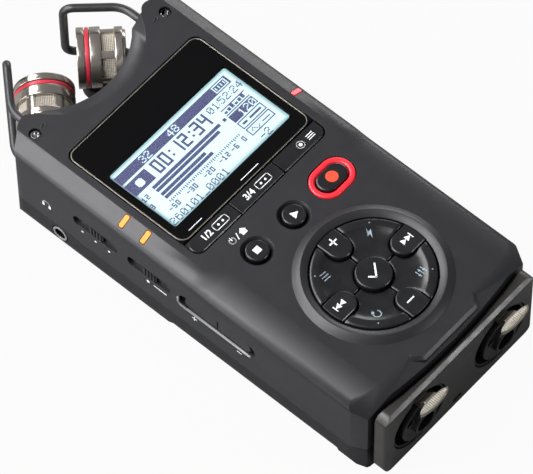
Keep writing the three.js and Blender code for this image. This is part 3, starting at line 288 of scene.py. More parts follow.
def dress(node, surface, width):
    """A piece with a CAD node's own shape, its edges rounded and its curves smooth."""
    mesh = frame["nodes"][node].data.copy()
    mesh.materials.clear()
    if mesh.attributes.get("custom_normal"):
        mesh.attributes.remove(mesh.attributes["custom_normal"])
    tidy = bmesh.new()
    tidy.from_mesh(mesh)
    bmesh.ops.remove_doubles(tidy, verts=tidy.verts, dist=SAME_PLACE * MM)
    bmesh.ops.dissolve_limit(
        tidy, angle_limit=math.radians(SAME_PLANE), verts=tidy.verts, edges=tidy.edges,
    )
    tidy.to_mesh(mesh)
    tidy.free()
    mesh.polygons.foreach_set("use_smooth", [True] * len(mesh.polygons))
    mesh.set_sharp_from_angle(angle=math.radians(SHARP_ANGLE))
    soften(finished(f"{node}_skin", mesh, surface, BODY_OF[node], node), width)


def ring_faces(rings, closed_rows=True):
    """Quads between rows of points that each close on themselves."""
    count = len(rings[0])
    faces = []
    rows = len(rings) if closed_rows else len(rings) - 1
    for i in range(rows):
        near, far = i * count, ((i + 1) % len(rings)) * count
        for j in range(count):
            after = (j + 1) % count
            faces.append((near + j, near + after, far + after, far + j))
    return [point for ring in rings for point in ring], faces


def capped(rings):
    """Quads between open rows of points, with a face at each end."""
    points, faces = ring_faces(rings, closed_rows=False)
    count = len(rings[0])
    faces.append(tuple(range(count)))
    faces.append(tuple(range(len(points) - count, len(points))))
    return points, faces


def turned(profile, angle):
    """A profile's points at an angle about Z."""
    return [(r * math.cos(angle), r * math.sin(angle), z) for r, z in profile]


def ring(inner, outer, bottom, top, edge, steps=96, edge_steps=4):
    """Points and faces of a ring about Z with rounded edges."""
    profile = rounded(inner, bottom, outer, top, edge, edge_steps)
    return ring_faces([turned(profile, math.tau * i / steps) for i in range(steps)])


def part_lathe(profile, start, end, steps=96):
    """A closed profile turned about Z through part of a turn, capped at its ends."""
    turns = [math.radians(start + (end - start) * i / steps) for i in range(steps + 1)]
    return capped([turned(profile, angle) for angle in turns])


def disc_lathe(profile, steps=96):
    """Points and faces of an open profile turned about Z, capped at both ends."""
    columns = [turned(profile, math.tau * i / steps) for i in range(steps)]
    return capped(list(zip(*columns)))


def tube(path, radius, sides):
    """Points and faces of a round wire along a path, with closed ends."""
    path = [Vector(point) for point in path]
    rings = []
    up = None
    for i, point in enumerate(path):
        ahead = path[min(i + 1, len(path) - 1)] - path[max(i - 1, 0)]
        ahead.normalize()
        if up is None:
            up = Vector((0, 0, 1)) if abs(ahead.z) < 0.9 else Vector((1, 0, 0))
        up = (up - ahead * up.dot(ahead)).normalized()
        across = ahead.cross(up)
        rings.append([point + x * up + y * across for x, y in disc(0, 0, radius, sides)])
    return capped(rings)


def merged(parts):
    """Several lots of points and faces as one."""
    points, faces = [], []
    for some_points, some_faces in parts:
        start = len(points)
        points.extend(some_points)
        faces.extend(tuple(i + start for i in face) for face in some_faces)
    return points, faces


def placed(part, matrix):
    """Points and faces moved by a matrix."""
    points, faces = part
    return [matrix @ Vector(point) for point in points], faces


# Outlines, as lists of (x, y) going round to the left, and what is drawn with them


def arc(x, y, radius, start, end, steps):
    """Points of an arc, from one angle to another in degrees."""
    angles = [math.radians(start + (end - start) * i / steps) for i in range(steps + 1)]
    return [(x + radius * math.cos(angle), y + radius * math.sin(angle)) for angle in angles]


def disc(x, y, radius, steps=32):
    return arc(x, y, radius, 0, 360, steps)[:-1]


def rectangle(left, bottom, right, top):
    return [(left, bottom), (right, bottom), (right, top), (left, top)]


def rounded(left, bottom, right, top, radius, steps=8):
    """A rectangle with rounded corners."""
    return (
        arc(right - radius, bottom + radius, radius, -90, 0, steps)
        + arc(right - radius, top - radius, radius, 0, 90, steps)
        + arc(left + radius, top - radius, radius, 90, 180, steps)
        + arc(left + radius, bottom + radius, radius, 180, 270, steps)
    )


def stadium(x, y, half_length, half_height, steps=24):
    """A rectangle with round ends."""
    reach = half_length - half_height
    return (
        arc(x + reach, y, half_height, -90, 90, steps)
        + arc(x - reach, y, half_height, 90, 270, steps)
    )


def offset(outline, distance):
    """A smooth outline moved outwards."""
    moved = []
    count = len(outline)
    for i, (x, y) in enumerate(outline):
        x0, y0 = outline[i - 1]
        x1, y1 = outline[(i + 1) % count]
        length = math.hypot(x1 - x0, y1 - y0)
        moved.append((x + distance * (y1 - y0) / length, y - distance * (x1 - x0) / length))
    return moved


def band(outline, profile):
    """A ring along an outline; the profile holds (outwards, z) and closes."""
    return ring_faces([
        [(x, y, z) for x, y in offset(outline, outwards)] for outwards, z in profile
    ])


def slab(outline, bottom, top):
    """A thin plate with an outline."""
    count = len(outline)
    points = [(x, y, bottom) for x, y in outline] + [(x, y, top) for x, y in outline]
    faces = [tuple(reversed(range(count))), tuple(range(count, 2 * count))]
    faces += [(i, (i + 1) % count, (i + 1) % count + count, i + count) for i in range(count)]
    return points, faces


STROKE_OVERLAP = 0.3


def stroke(path, width, closed=False):
    """Outlines of a line, one for each stretch, that overlap by a share of its width."""
    stretches = []
    if closed:
        path = path + path[:1]
    pairs = list(zip(path, path[1:]))
    overlap = width * STROKE_OVERLAP if len(pairs) > 1 else 0
    for (x0, y0), (x1, y1) in pairs:
        length = math.hypot(x1 - x0, y1 - y0)
        ax, ay = (x1 - x0) / length, (y1 - y0) / length
        nx, ny = -ay * width / 2, ax * width / 2
        ex, ey = ax * overlap, ay * overlap
        stretches.append([
            (x0 + nx - ex, y0 + ny - ey), (x0 - nx - ex, y0 - ny - ey),
            (x1 - nx + ex, y1 - ny + ey), (x1 + nx + ex, y1 + ny + ey),
        ])
    return stretches


def bar(x, y, half_length, width):
    """A line across the drawing."""
    return stroke([(x - half_length, y), (x + half_length, y)], width)


def upright(x, y, half_length, width):
    """A line up the drawing."""
    return stroke([(x, y - half_length), (x, y + half_length)], width)


PRINT_THICKNESS = 0.03
BOWL_PRINT_LIFT = 0.02
LETTER_SIZE = 2.9
LETTER_WEIGHT = 0.02


def on_face(level):
    """Places a drawing on a plane that faces up."""
    return Matrix.Translation((0, 0, level))


def on_left_side(depth=0.0):
    """Places a drawing on the left wall: drawn x runs along the body, drawn y up."""
    return Matrix(((0, 0, -1, depth - HALF_WIDTH), (-1, 0, 0, 0), (0, 1, 0, 0), (0, 0, 0, 1)))


def printed(name, outlines, matrix, body="housing", surface="print"):
    """Flat marks of ink on a surface."""
    part = merged([slab(outline, 0, PRINT_THICKNESS) for outline in outlines])
    piece(name, placed(part, matrix), surface, body, smooth=False)


def printed_in_bowl(name, outlines, body):
    """Flat marks that follow the dished keys' surface."""
    top = BOWL_PRINT_LIFT + PRINT_THICKNESS
    points, faces = merged([slab(outline, BOWL_PRINT_LIFT, top) for outline in outlines])
    middle = along(KEYPAD)
    raised = [
        (x, y, height(-bowl_height(math.hypot(x, y - middle))) + z) for x, y, z in points
    ]
    piece(name, (raised, faces), "print_grey", body, smooth=False)


def lettered(name, text, x, y, key):
    """Plain numbers on a key's top, centred on a place."""
    curve = bpy.data.curves.new(name, "FONT")
    curve.body = text
    curve.size = LETTER_SIZE * MM
    curve.align_x = "CENTER"
    curve.align_y = "CENTER"
    curve.extrude = PRINT_THICKNESS / 2 * MM
    curve.offset = LETTER_WEIGHT * curve.size
    curve.materials.append(surfaces["print"].material)
    made = bpy.data.objects.new(name, curve)
    bpy.context.scene.collection.objects.link(made)
    place = Vector((x * MM, y * MM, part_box(key)[1].z + PRINT_THICKNESS / 2 * MM))
    made.matrix_world = Matrix.Translation(place)
    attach(made, key)


# Pieces that keep their own solid's shape: material, width of the soft edge, nodes

DRESSED = (
    ("shell", 0.0, "front_shell"),
    ("back", 0.0, "rear_shell"),
    ("back", 0.12, "battery_cover"),
    ("back", 0.2, "card_door"),
    ("panel", 0.0, "jack_panel"),
    ("gloss", 0.0, "display_window"),
    ("keys", 0.1, "track_key_a track_key_b mode_key"),
    ("keys", 0.09, "stop_key play_key centre_key"),
    ("keys", 0.2, "rec_key"),
    ("keys", 0.09, "forward_key plus_key back_key minus_key"),
    ("amber_lens", 0.12, "track_lamp_a track_lamp_b"),
    ("red_lens", 0.12, "peak_lamp"),
    ("keys", 0.08, "input_switch hold_switch"),
    ("keys", 0.22, "level_rocker"),
    ("socket", 0.1, "headphone_socket"),
    ("screw", 0.06, "horn_screw_left horn_screw_right"),
    ("guard", 0.15, "mic_foot_left mic_foot_right"),
)
for surface, width, nodes in DRESSED:
    for node in nodes.split():
        dress(node, surface, width)

# Solids that stay as they are, with a finer material

KEPT = {
    "lcd": "lcd_panel",
    "board": "main_board",
    "mat": "key_mat",
    "cell": "cell_a cell_b",
    "bright": "battery_contact_a battery_contact_b card_socket",
}
for surface, nodes in KEPT.items():
    for node in nodes.split():
        mesh = frame["nodes"][node].data
        mesh.materials.clear()
        mesh.materials.append(surfaces[surface].material)

# Wire guards: one bent wire each, with its two legs in the horn

GUARD_RADIUS = 1.25
GUARD_BEND = 3.4
GUARD_DEPTHS = (5.9, 27.9)
GUARD_CORNERS = ((23.4, 130.6), (23.4, 145.4), (11.8, 159.3 - GUARD_RADIUS))


def bent_path(corners, bend, steps=10):
    """Points of a line through corners, with a bend in place of each inner one."""
    path = [corners[0]]
    for before, corner, after in zip(corners, corners[1:], corners[2:]):
        start = corner + (before - corner).normalized() * bend
        end = corner + (after - corner).normalized() * bend
        for i in range(steps + 1):
            share = i / steps
            path.append(
                start * (1 - share) ** 2 + corner * 2 * share * (1 - share) + end * share ** 2
            )
    path.append(corners[-1])
    return path


def guard(side, name):
    upper, lower = (
        [Vector((side * x, along(station), height(depth))) for x, station in GUARD_CORNERS]
        for depth in GUARD_DEPTHS
    )
    wire = tube(bent_path(upper + lower[::-1], GUARD_BEND), GUARD_RADIUS, 28)
    made = piece(f"guard_{name}_wire", wire, "guard", stands_for=f"guard_{name}")
    made.modifiers.new("normals", "WEIGHTED_NORMAL")


for side, name in SIDES:
    guard(side, name)

# The four dished keys between the keypad's straight ones

KEY_BOTTOM = height(5.1)
KEY_GAP = 0.35
PAD_RADIUS = 17.7
PETAL_END = 12.55
PETAL_RADIUS = 3.7 + KEY_GAP
BOWL = [
    (5.65, -0.55), (5.9, -0.32), (7.0, -0.28), (9.0, -0.27), (10.2, -0.24), (11.2, -0.18),
    (12.0, -0.1), (12.8, 0.02), (13.5, 0.18), (14.1, 0.4), (14.6, 0.66), (14.9, 0.84),
    (15.2, 0.93), (15.6, 0.95), (16.8, 0.94), (17.3, 0.86), (17.55, 0.68), (PAD_RADIUS, 0.4),
]
LONGEST_ROW = 0.5
ROWS_PAST_PETAL = (0.02, 0.1, 0.25, 0.5)
KEY_EDGE = ((0.0, 0.34), (0.1, 0.13), (0.26, 0.0))
KEY_COLUMNS = 16


def bowl_height(radius):
    """The dished keys' height above the face, at a distance from the pad's middle."""
    for (r0, z0), (r1, z1) in zip(BOWL, BOWL[1:]):
        if radius <= r1:
            return z0 + (z1 - z0) * (radius - r0) / (r1 - r0)
    return BOWL[-1][1]


def key_edge(radius):
    """The angle from a straight key's axis at which the dished key begins."""
    thin = math.asin(KEY_GAP / 2 / radius)
    reach = math.hypot(PETAL_END, PETAL_RADIUS)
    if radius <= PETAL_END - PETAL_RADIUS:
        return thin
    if radius >= reach:
        return math.asin(PETAL_RADIUS / radius)
    cosine = (radius ** 2 + PETAL_END ** 2 - PETAL_RADIUS ** 2) / (2 * radius * PETAL_END)
    return max(thin, math.acos(min(1, cosine)))


def key_rows():
    """The distances from the pad's middle at which a dished key has its points."""
    radii = {r for r, _ in BOWL}
    radii.update(
        (r0 + r1) / 2 for (r0, _), (r1, _) in zip(BOWL, BOWL[1:]) if r1 - r0 > LONGEST_ROW
    )
    radii.update(PETAL_END - PETAL_RADIUS + step for step in ROWS_PAST_PETAL)
    return sorted(radii)


def key_columns(radius):
    """The angle and the drop of each point across a dished key."""
    start = key_edge(radius)
    end = math.pi / 2 - start
    inset = KEY_EDGE[-1][0] / radius
    first, last = start + inset, end - inset
    return (
        [(start + edge / radius, drop) for edge, drop in KEY_EDGE]
        + [(first + (last - first) * i / KEY_COLUMNS, 0.0) for i in range(1, KEY_COLUMNS)]
        + [(end - edge / radius, drop) for edge, drop in reversed(KEY_EDGE)]
    )


def dished_key(quarter_turns, name):
    """A quarter of the pad between two straight keys, dished on top, flat below."""
    radii = key_rows()
    top, bottom = [], []
    for radius in radii:
        level = height(-bowl_height(radius))
        for angle, drop in key_columns(radius):
            turn = angle + quarter_turns * math.pi / 2
            x, y = radius * math.cos(turn), along(KEYPAD) + radius * math.sin(turn)
            top.append((x, y, level - drop))
            bottom.append((x, y, KEY_BOTTOM))
    count, rows = len(top), len(radii)
    width = count // rows
    faces = []
    for row in range(rows - 1):
        for a in range(row * width, row * width + width - 1):
            faces.append((a, a + width, a + width + 1, a + 1))
            faces.append((count + a, count + a + 1, count + a + width + 1, count + a + width))
    border = list(range(width))
    border += [row * width + width - 1 for row in range(1, rows)]
    border += [(rows - 1) * width + i for i in range(width - 2, -1, -1)]
    border += [row * width for row in range(rows - 2, 0, -1)]
    faces += [(a, b, count + b, count + a) for a, b in zip(border, border[1:] + border[:1])]
    piece(f"{name}_top", (top + bottom, faces), "keys", name, sharp=50, stands_for=name)


for turns, letter in enumerate("abcd"):
    dished_key(turns, f"corner_key_{letter}")

# Thin trims: a collar round the headphone bore, a lip under the level rocker whose pale
# tone is a painted highlight, and the ticks beside the horn screws

HEADPHONE_STATION = 117.3
HEADPHONE_HEIGHT = 6.8
COLLAR_DEPTH = 0.2
ROCKER_STATION = 58.2
ROCKER_HEIGHT = 21.3
LIP_DROP = 3.0
LIP_REACH = 12.6
LIP_CORNER = 1.6
LIP_RADIUS = 0.38
LIP_PROUD = 0.05
TICK_X = 23.5
TICK_STATION = 132.9
TICK_CORNERS = ((-1.1, -0.3), (0.9, 0.5), (0.4, -0.9))
TICK_WIDTH = 0.4


def headphone_collar():
    centre = Matrix.Translation((-along(HEADPHONE_STATION), HEADPHONE_HEIGHT, 0))
    collar = ring(1.9, 2.6, 0, 0.35, 0.12, 64)
    piece("headphone_collar", placed(collar, on_left_side(COLLAR_DEPTH) @ centre), "pale_trim_and_painted_highlight")


def rocker_lip_highlight():
    """The rocker recess's lower edge, drawn out into a thin lip that turns up at its rear
    end. Its pale tone is a painted highlight for the light on the recess's lower slope.
    """
    x = -along(ROCKER_STATION)
    low = ROCKER_HEIGHT - LIP_DROP
    path = [(x + LIP_REACH, low + 0.35), (x + LIP_REACH - 0.8, low), (x - LIP_REACH, low)]
    path += arc(x - LIP_REACH, low + LIP_CORNER, LIP_CORNER, 270, 180, 8)
    path.append((x - LIP_REACH - LIP_CORNER, low + 2 * LIP_CORNER))
    wire = tube([(px, py, LIP_PROUD) for px, py in path], LIP_RADIUS, 12)
    piece("rocker_lip_highlight", placed(wire, on_left_side()), "pale_trim_and_painted_highlight")


def horn_tick(side, name):
    """A small raised tick beside the horn's screw."""
    x, y = side * TICK_X, along(TICK_STATION)
    ends = [(x + right, y + up) for right, up in TICK_CORNERS]
    outlines = stroke(ends[:2], TICK_WIDTH) + stroke(ends[1:], TICK_WIDTH)
    part = merged([slab(outline, -0.05, 0.2) for outline in outlines])
    soften(piece(f"horn_tick_{name}", placed(part, on_face(FACE_HEIGHT)), "shell"), 0.08)


headphone_collar()
rocker_lip_highlight()
for side, name in SIDES:
    horn_tick(side, name)

# Combination jacks: drawn z runs out of the panel from its face, drawn y up

JACK_X = 17.05
JACK_HEIGHT = height(19.5)
JACK_RADIUS = 10.7
JACK_GROOVE = (7.9, 10.0)
JACK_OPENING = 15
JACK_FLOOR = -16.4
JACK_BACK = -25.4
JACK_SEAM = 0.1
PHONE_BORE = 3.3
INSERT_HOLE = 3.9
BOSS_RADIUS = 4.2
PIN_CIRCLE = 5.6
PIN_RADIUS = 1.25


def jack_placement(side):
    """Places a drawing on a jack's axis."""
    matrix = Matrix(((1, 0, 0, 0), (0, 0, -1, 0), (0, 1, 0, 0), (0, 0, 0, 1)))
    matrix.translation = (side * JACK_X, along(0), JACK_HEIGHT)
    return matrix


def plate(outlines, bottom, top, bevel):
    """A plate with holes: its outer outline and those of its holes."""
    curve = bpy.data.curves.new("plate", "CURVE")
    curve.dimensions = "2D"
    curve.fill_mode = "BOTH"
    curve.extrude = (top - bottom) / 2 - bevel
    curve.bevel_depth = bevel
    curve.bevel_resolution = 2
    curve.offset = -bevel
    for outline in outlines:
        spline = curve.splines.new("POLY")
        spline.points.add(len(outline) - 1)
        for point, (x, y) in zip(spline.points, outline):
            point.co = (x, y, 0, 1)
        spline.use_cyclic_u = True
    holder = bpy.data.objects.new("plate", curve)
    mesh = bpy.data.meshes.new_from_object(holder)
    middle = (top + bottom) / 2
    points = [(vertex.co.x, vertex.co.y, vertex.co.z + middle) for vertex in mesh.vertices]
    faces = [tuple(polygon.vertices) for polygon in mesh.polygons]
    bpy.data.objects.remove(holder)
    bpy.data.meshes.remove(mesh)
    bpy.data.curves.remove(curve)
    return points, faces


def jack(side, name):
    """An outer ring with room for the latch, a groove, and a stepped insert with its bores."""
    rim = part_lathe(
        rounded(JACK_GROOVE[1], JACK_FLOOR - 2 * JACK_SEAM, JACK_RADIUS, -0.4, 0.2, 4),
        90 + JACK_OPENING, 450 - JACK_OPENING,
    )
    base = ring(PHONE_BORE, JACK_RADIUS, JACK_BACK, JACK_FLOOR, 0.1)
    bore_end = disc_lathe(rectangle(1, JACK_BACK, 3.6, JACK_BACK + 4), 48)
    pins = [disc(x, y, PIN_RADIUS, 24) for x, y in arc(0, 0, PIN_CIRCLE, -90, 150, 2)]
    insert = plate(
        [disc(0, 0, JACK_GROOVE[0], 72), disc(0, 0, INSERT_HOLE, 48)] + pins,
        JACK_FLOOR - JACK_SEAM, 0.7, 0.3,
    )
    boss = ring(PHONE_BORE, BOSS_RADIUS, JACK_FLOOR - JACK_SEAM, 2.3, 0.25, 64)
    part = placed(merged([rim, base, bore_end, insert, boss]), jack_placement(side))
    piece(f"jack_{name}", part, "socket", sharp=40, stands_for=f"combo_jack_{name}")


LEVER_HALF_WIDTH = 2.2
LATCH_THICKNESS = 1.6
STEM_TOP = height(8.6)
TAB_TOP = height(5.1)
TAB_CENTRE = along(-4.7)
TAB_HALF_LENGTH = 5.7
TAB_HALF_WIDTH = 1.3
RIB_COUNT = 15
RIB_PITCH = 0.68
RIB_HALF_WIDTH = 0.18


def latch(side, name):
    """A thumb tab in front of the jack, on a cranked lever that goes in above it."""
    x = side * JACK_X
    stem_low, tab_low = STEM_TOP - LATCH_THICKNESS, TAB_TOP - LATCH_THICKNESS
    corners = (
        (8, stem_low), (-1.2, stem_low), (-4.4, tab_low + 0.3), (-5.6, tab_low + 0.3),
        (-5.6, TAB_TOP - 0.5), (-2.9, TAB_TOP - 0.4), (-0.5, STEM_TOP), (8, STEM_TOP),
    )
    lever = [(along(station), level) for station, level in corners]
    across = Matrix(((0, 0, 1, 0), (1, 0, 0, 0), (0, 1, 0, 0), (0, 0, 0, 1)))
    stem = placed(slab(lever, x - LEVER_HALF_WIDTH, x + LEVER_HALF_WIDTH), across)
    oval = [
        (x + TAB_HALF_LENGTH * cosine, TAB_CENTRE + TAB_HALF_WIDTH * sine)
        for cosine, sine in disc(0, 0, 1, 64)
    ]
    ribs = []
    for i in range(RIB_COUNT):
        place = (i - RIB_COUNT // 2) * RIB_PITCH
        reach = TAB_HALF_WIDTH * math.sqrt(1 - (place / TAB_HALF_LENGTH) ** 2) - 0.2
        rib = rounded(
            x + place - RIB_HALF_WIDTH, TAB_CENTRE - reach,
            x + place + RIB_HALF_WIDTH, TAB_CENTRE + reach, 0.12, 3,
        )
        ribs.append(slab(rib, TAB_TOP - 0.4, TAB_TOP - 0.15))
    part = merged([stem, slab(oval, tab_low, TAB_TOP - 0.2)] + ribs)
    made = piece(f"latch_{name}_tab", part, "bright", f"latch_{name}", sharp=35,
                 stands_for=f"latch_{name}")
    soften(made, 0.14)


for side, name in SIDES:
    jack(side, name)
    latch(side, name)

# Microphones: drawn z runs along the capsule from its pivot towards its front

MIC_PIVOT_X = 9
MIC_STATION = 146.5
MIC_SETBACK = 3
MIC_RADIUS = 8.8
MIC_AXIS_HEIGHT = height(16.7)
MESH_PITCH = 0.5
MESH_WIRE = 0.11
MESH_SWING = MESH_WIRE * 0.8
CAGE_MESH_RADIUS = 7.45
CAGE_START = -5.0
CAGE_END = -1.0
CAGE_PILLARS = 6
GRILLE_LEVEL = 5.0
GRILLE_RADIUS = 7.1


def mic_placement(side):
    """Places a drawing on a capsule's axis, which points halfway inwards."""
    slant = math.sqrt(0.5)
    back = MIC_SETBACK * slant
    ahead = Vector((-side * slant, slant, 0))
    up = Vector((0, 0, 1))
    matrix = Matrix((up.cross(ahead), up, ahead)).transposed().to_4x4()
    matrix.translation = (side * (MIC_PIVOT_X + back), along(MIC_STATION) - back, MIC_AXIS_HEIGHT)
    return matrix


def barrel_part():
    """The housing: a rim behind the red ring, a neck in it, the cage and the tail."""
    rear_rim = ring(6.6, MIC_RADIUS, CAGE_END, 2.2, 0.3, 120)
    neck = ring(4.0, 8.0, 1.8, 4.1, 0.1)
    flange = ring(4.0, 8.5, -7.4, CAGE_START, 0.3, 120)
    tail = disc_lathe([(5.0, -7.2), (7.6, -7.2), (7.6, -7.95), (7.35, -8.2), (5.0, -8.2)])
    outline = arc(0, 0, 8.3, -7.6, 7.6, 6) + arc(0, 0, 6.9, 9.1, -9.1, 6)
    pillar = slab(outline, CAGE_START - 0.3, CAGE_END + 0.3)
    pillars = [
        placed(pillar, Matrix.Rotation(math.tau * i / CAGE_PILLARS, 4, "Z"))
        for i in range(CAGE_PILLARS)
    ]
    return merged([rear_rim, neck, flange, tail] + pillars)


def woven_wire(start, end, lift, crossings, phase):
    """A straight wire that passes over and under the wires it crosses."""
    start, end, lift = Vector(start), Vector(end), Vector(lift)
    path = []
    steps = 2 * crossings
    for i in range(steps + 1):
        share = i / steps
        wave = math.cos(math.pi * (share * crossings + phase))
        path.append(start.lerp(end, share) + lift * wave)
    return tube(path, MESH_WIRE, 4)


def grille_part():
    """Woven wire across the front opening."""
    wires = []
    count = int(GRILLE_RADIUS / MESH_PITCH)
    lift = (0, 0, MESH_SWING)
    for i in range(-count, count + 1):
        place = i * MESH_PITCH
        reach = math.sqrt(GRILLE_RADIUS ** 2 - place ** 2)
        across = max(2, round(2 * reach / MESH_PITCH))
        low, high = (place, -reach, GRILLE_LEVEL), (place, reach, GRILLE_LEVEL)
        left, right = (-reach, place, GRILLE_LEVEL), (reach, place, GRILLE_LEVEL)
        wires.append(woven_wire(low, high, lift, across, i))
        wires.append(woven_wire(left, right, lift, across, i + 1))
    return merged(wires)


def cage_mesh_part():
    """Woven wire round the capsule, behind the pillars."""
    wires = []
    around = 2 * round(math.pi * CAGE_MESH_RADIUS / MESH_PITCH)
    rows = round((CAGE_END - CAGE_START) / MESH_PITCH)
    angles = [math.tau * i / around for i in range(around)]
    for i, angle in enumerate(angles):
        start, end = turned([(CAGE_MESH_RADIUS, CAGE_START), (CAGE_MESH_RADIUS, CAGE_END)], angle)
        outwards = Vector((math.cos(angle), math.sin(angle), 0))
        wires.append(woven_wire(start, end, outwards * MESH_SWING, rows, i))
    for row in range(1, rows):
        level = CAGE_START + row * MESH_PITCH
        rings = []
        for i, angle in enumerate(angles):
            centre = CAGE_MESH_RADIUS + MESH_SWING * math.cos(math.pi * (i + row + 1))
            rings.append(turned(disc(centre, level, MESH_WIRE, 4), angle))
        wires.append(ring_faces(rings))
    return merged(wires)


def microphone(side, name):
    placement = mic_placement(side)
    parts = (
        ("front_rim", ring(7.5, MIC_RADIUS, 3.75, 5.9, 0.22, 120, 3), "mic_metal", "mic_cap"),
        ("red_band", ring(6.5, 8.68, 2.35, 3.5, 0.2, 120), "red_band", "mic_red_ring"),
        ("barrel", barrel_part(), "mic_metal", "mic_housing"),
        ("front_mesh", grille_part(), "mesh", "mic_grille"),
        ("side_mesh", cage_mesh_part(), "mesh", None),
        ("core", disc_lathe([(3.0, -7.0), (7.0, -6.9), (7.0, 4.2), (6.8, 4.4), (3.0, 4.4)]),
         "dark", None),
    )
    for label, part, surface, node in parts:
        piece(f"mic_{name}_{label}", placed(part, placement), surface, f"mic_{name}", sharp=50,
              stands_for=f"{node}_{name}" if node else None)


for side, name in SIDES:
    microphone(side, name)

# Recording light: a rounded lens round the key

REC_RING = (
    (2.1, 1.8), (2.1, 0.05), (1.98, -0.16), (1.7, -0.31), (1.3, -0.35), (0.85, -0.28),
    (0.5, -0.1), (0.35, 0.25), (0.35, 1.8),
)
rec_outline = stadium(REC_KEY_X, along(ROUND_KEY_ROW), 5.15, 3.15)
rec_part = band(rec_outline, [(outwards, height(depth)) for outwards, depth in REC_RING])
rec_light = piece("rec_light", rec_part, "red_lens", stands_for="rec_light_ring")
rec_light.modifiers.new("normals", "WEIGHTED_NORMAL")

# Display: a thin bright metal strip round the window, a painted highlight for the light
# on the window's edge, and the picture on the liquid crystal

HIGHLIGHT_HALF_WIDTH = 0.14
window_outline = rounded(-26.8, along(77.55), 26.8, along(120.75), 2.85, 10)
highlight_profile = rectangle(-HIGHLIGHT_HALF_WIDTH, height(-0.01), HIGHLIGHT_HALF_WIDTH, height(0.3))
# The strip is a painted highlight: it stands for the light caught by the window's chamfered edge.
piece("window_edge_highlight", band(window_outline, highlight_profile), "bright", smooth=False)

DIGITS = {
    "0": "01110 10001 10011 10101 11001 10001 01110",
    "1": "00100 01100 00100 00100 00100 00100 01110",
    "2": "01110 10001 00001 00110 01000 10000 11111",
    "3": "01110 10001 00001 00110 00001 10001 01110",
    "4": "00010 00110 01010 10010 11111 00010 00010",
    "5": "11111 10000 11110 00001 00001 10001 01110",
    "6": "01110 10000 11110 10001 10001 10001 01110",
    "8": "01110 10001 10001 01110 10001 10001 01110",
    "-": "00000 00000 00000 11111 00000 00000 00000",
    "_": "00000 00000 00000 00000 00000 00000 11111",
}
SMALL_DIGITS = {
    "0": "111 101 101 101 111",
    "1": "010 110 010 010 111",
    "2": "111 001 111 100 111",
    "3": "111 001 111 001 111",
    "5": "111 100 111 001 111",
    "6": "111 100 111 101 111",
    "-": "000 000 111 000 000",
}
SEGMENTS = {"0": "abcdef", "1": "bc", "2": "abged", "3": "abgcd", "4": "fgbc"}
STRIPES = {
    "a": (0, 0, 6, 1), "b": (5, 0, 6, 5), "c": (5, 6, 6, 12), "d": (0, 11, 6, 12),
    "e": (0, 6, 1, 12), "f": (0, 0, 1, 5), "g": (0, 5, 6, 6),
}

PIXEL = 0.358
PIXEL_GAP = 0.012
PICTURE_LEFT = -23.9
PICTURE_TOP = along(106.0)


def picture_pixels():
    """The lit pixels: (column, row) from the top left corner."""
    lit = set()

    def fill(left, top, right, bottom, on=True):
        cells = {(c, r) for c in range(left, right + 1) for r in range(top, bottom + 1)}
        if on:
            lit.update(cells)
        else:
            lit.difference_update(cells)

    def frame_box(left, top, right, bottom):
        fill(left, top, right, bottom)
        fill(left + 1, top + 1, right - 1, bottom - 1, False)

    def write(text, left, top, glyphs=DIGITS, pitch=6, on=True):
        for i, sign in enumerate(text):
            for r, line in enumerate(glyphs[sign].split()):
                for c, bit in enumerate(line):
                    column = left + i * pitch + c
                    if bit == "1":
                        fill(column, top + r, column, top + r, on)

    def big_digit(sign, left, top):
        for stripe in SEGMENTS[sign]:
            x0, y0, x1, y1 = STRIPES[stripe]
            fill(left + x0, top + y0, left + x1, top + y1)

    fill(0, 0, 127, 8)
    write("32", 26, 1, on=False)
    write("48", 58, 1, on=False)
    fill(112, 1, 125, 7, False)
    frame_box(113, 2, 124, 6)
    for left in (115, 118, 121):
        fill(left, 3, left + 1, 5)

    fill(0, 11, 22, 23)
    fill(8, 14, 14, 20, False)
    for column, row in ((8, 14), (14, 14), (8, 20), (14, 20)):
        fill(column, row, column, row)

    left = 28
    for sign in "00:12:34":
        if sign == ":":
            fill(left + 1, 14, left + 2, 15)
            fill(left + 1, 19, left + 2, 20)
            left += 5
        else:
            big_digit(sign, left, 11)
            left += 9
    left = 94
    for sign in "01:52:24":
        if sign == ":":
            fill(left, 13, left, 13)
            fill(left, 16, left, 16)
            left += 2
        else:
            write(sign, left, 11)
            left += 5 if sign == "1" else 6
    fill(101, 21, 127, 21)
    for i in range(6):
        fill(102 + 4 * i, 24 - i % 3, 104 + 4 * i, 25)
    fill(101, 27, 127, 27)
    fill(101, 29, 127, 36)
    write("120", 110, 30, on=False)
    frame_box(101, 38, 127, 45)
    fill(104, 41, 108, 42)
    fill(112, 41, 124, 42)
    frame_box(101, 47, 127, 54)
    for i, rise in enumerate((0, -1, -2, -1, 0, 1, 2, 1, 0)):
        fill(104 + i, 51 + rise, 104 + i, 51 + rise)
    fill(116, 51, 124, 51)

    for top, end in ((27, 91), (31, 86), (36, 64), (40, 68)):
        fill(14, top, end, top + 2)
    fill(96, 27, 98, 29)
    write("12", 0, 28, SMALL_DIGITS, 4)
    write("3", 0, 37, SMALL_DIGITS, 4)
    for column in range(14, 95, 2):
        fill(column, 45, column, 46 if column % 8 else 47)
    for text, left in (("-50", 8), ("-30", 28), ("-20", 48), ("-12", 66), ("-6", 80), ("0", 93)):
        write(text, left, 49, SMALL_DIGITS, 4)
    write("260101_0001", 0, 57)
    write("-2", 104, 57)
    return lit


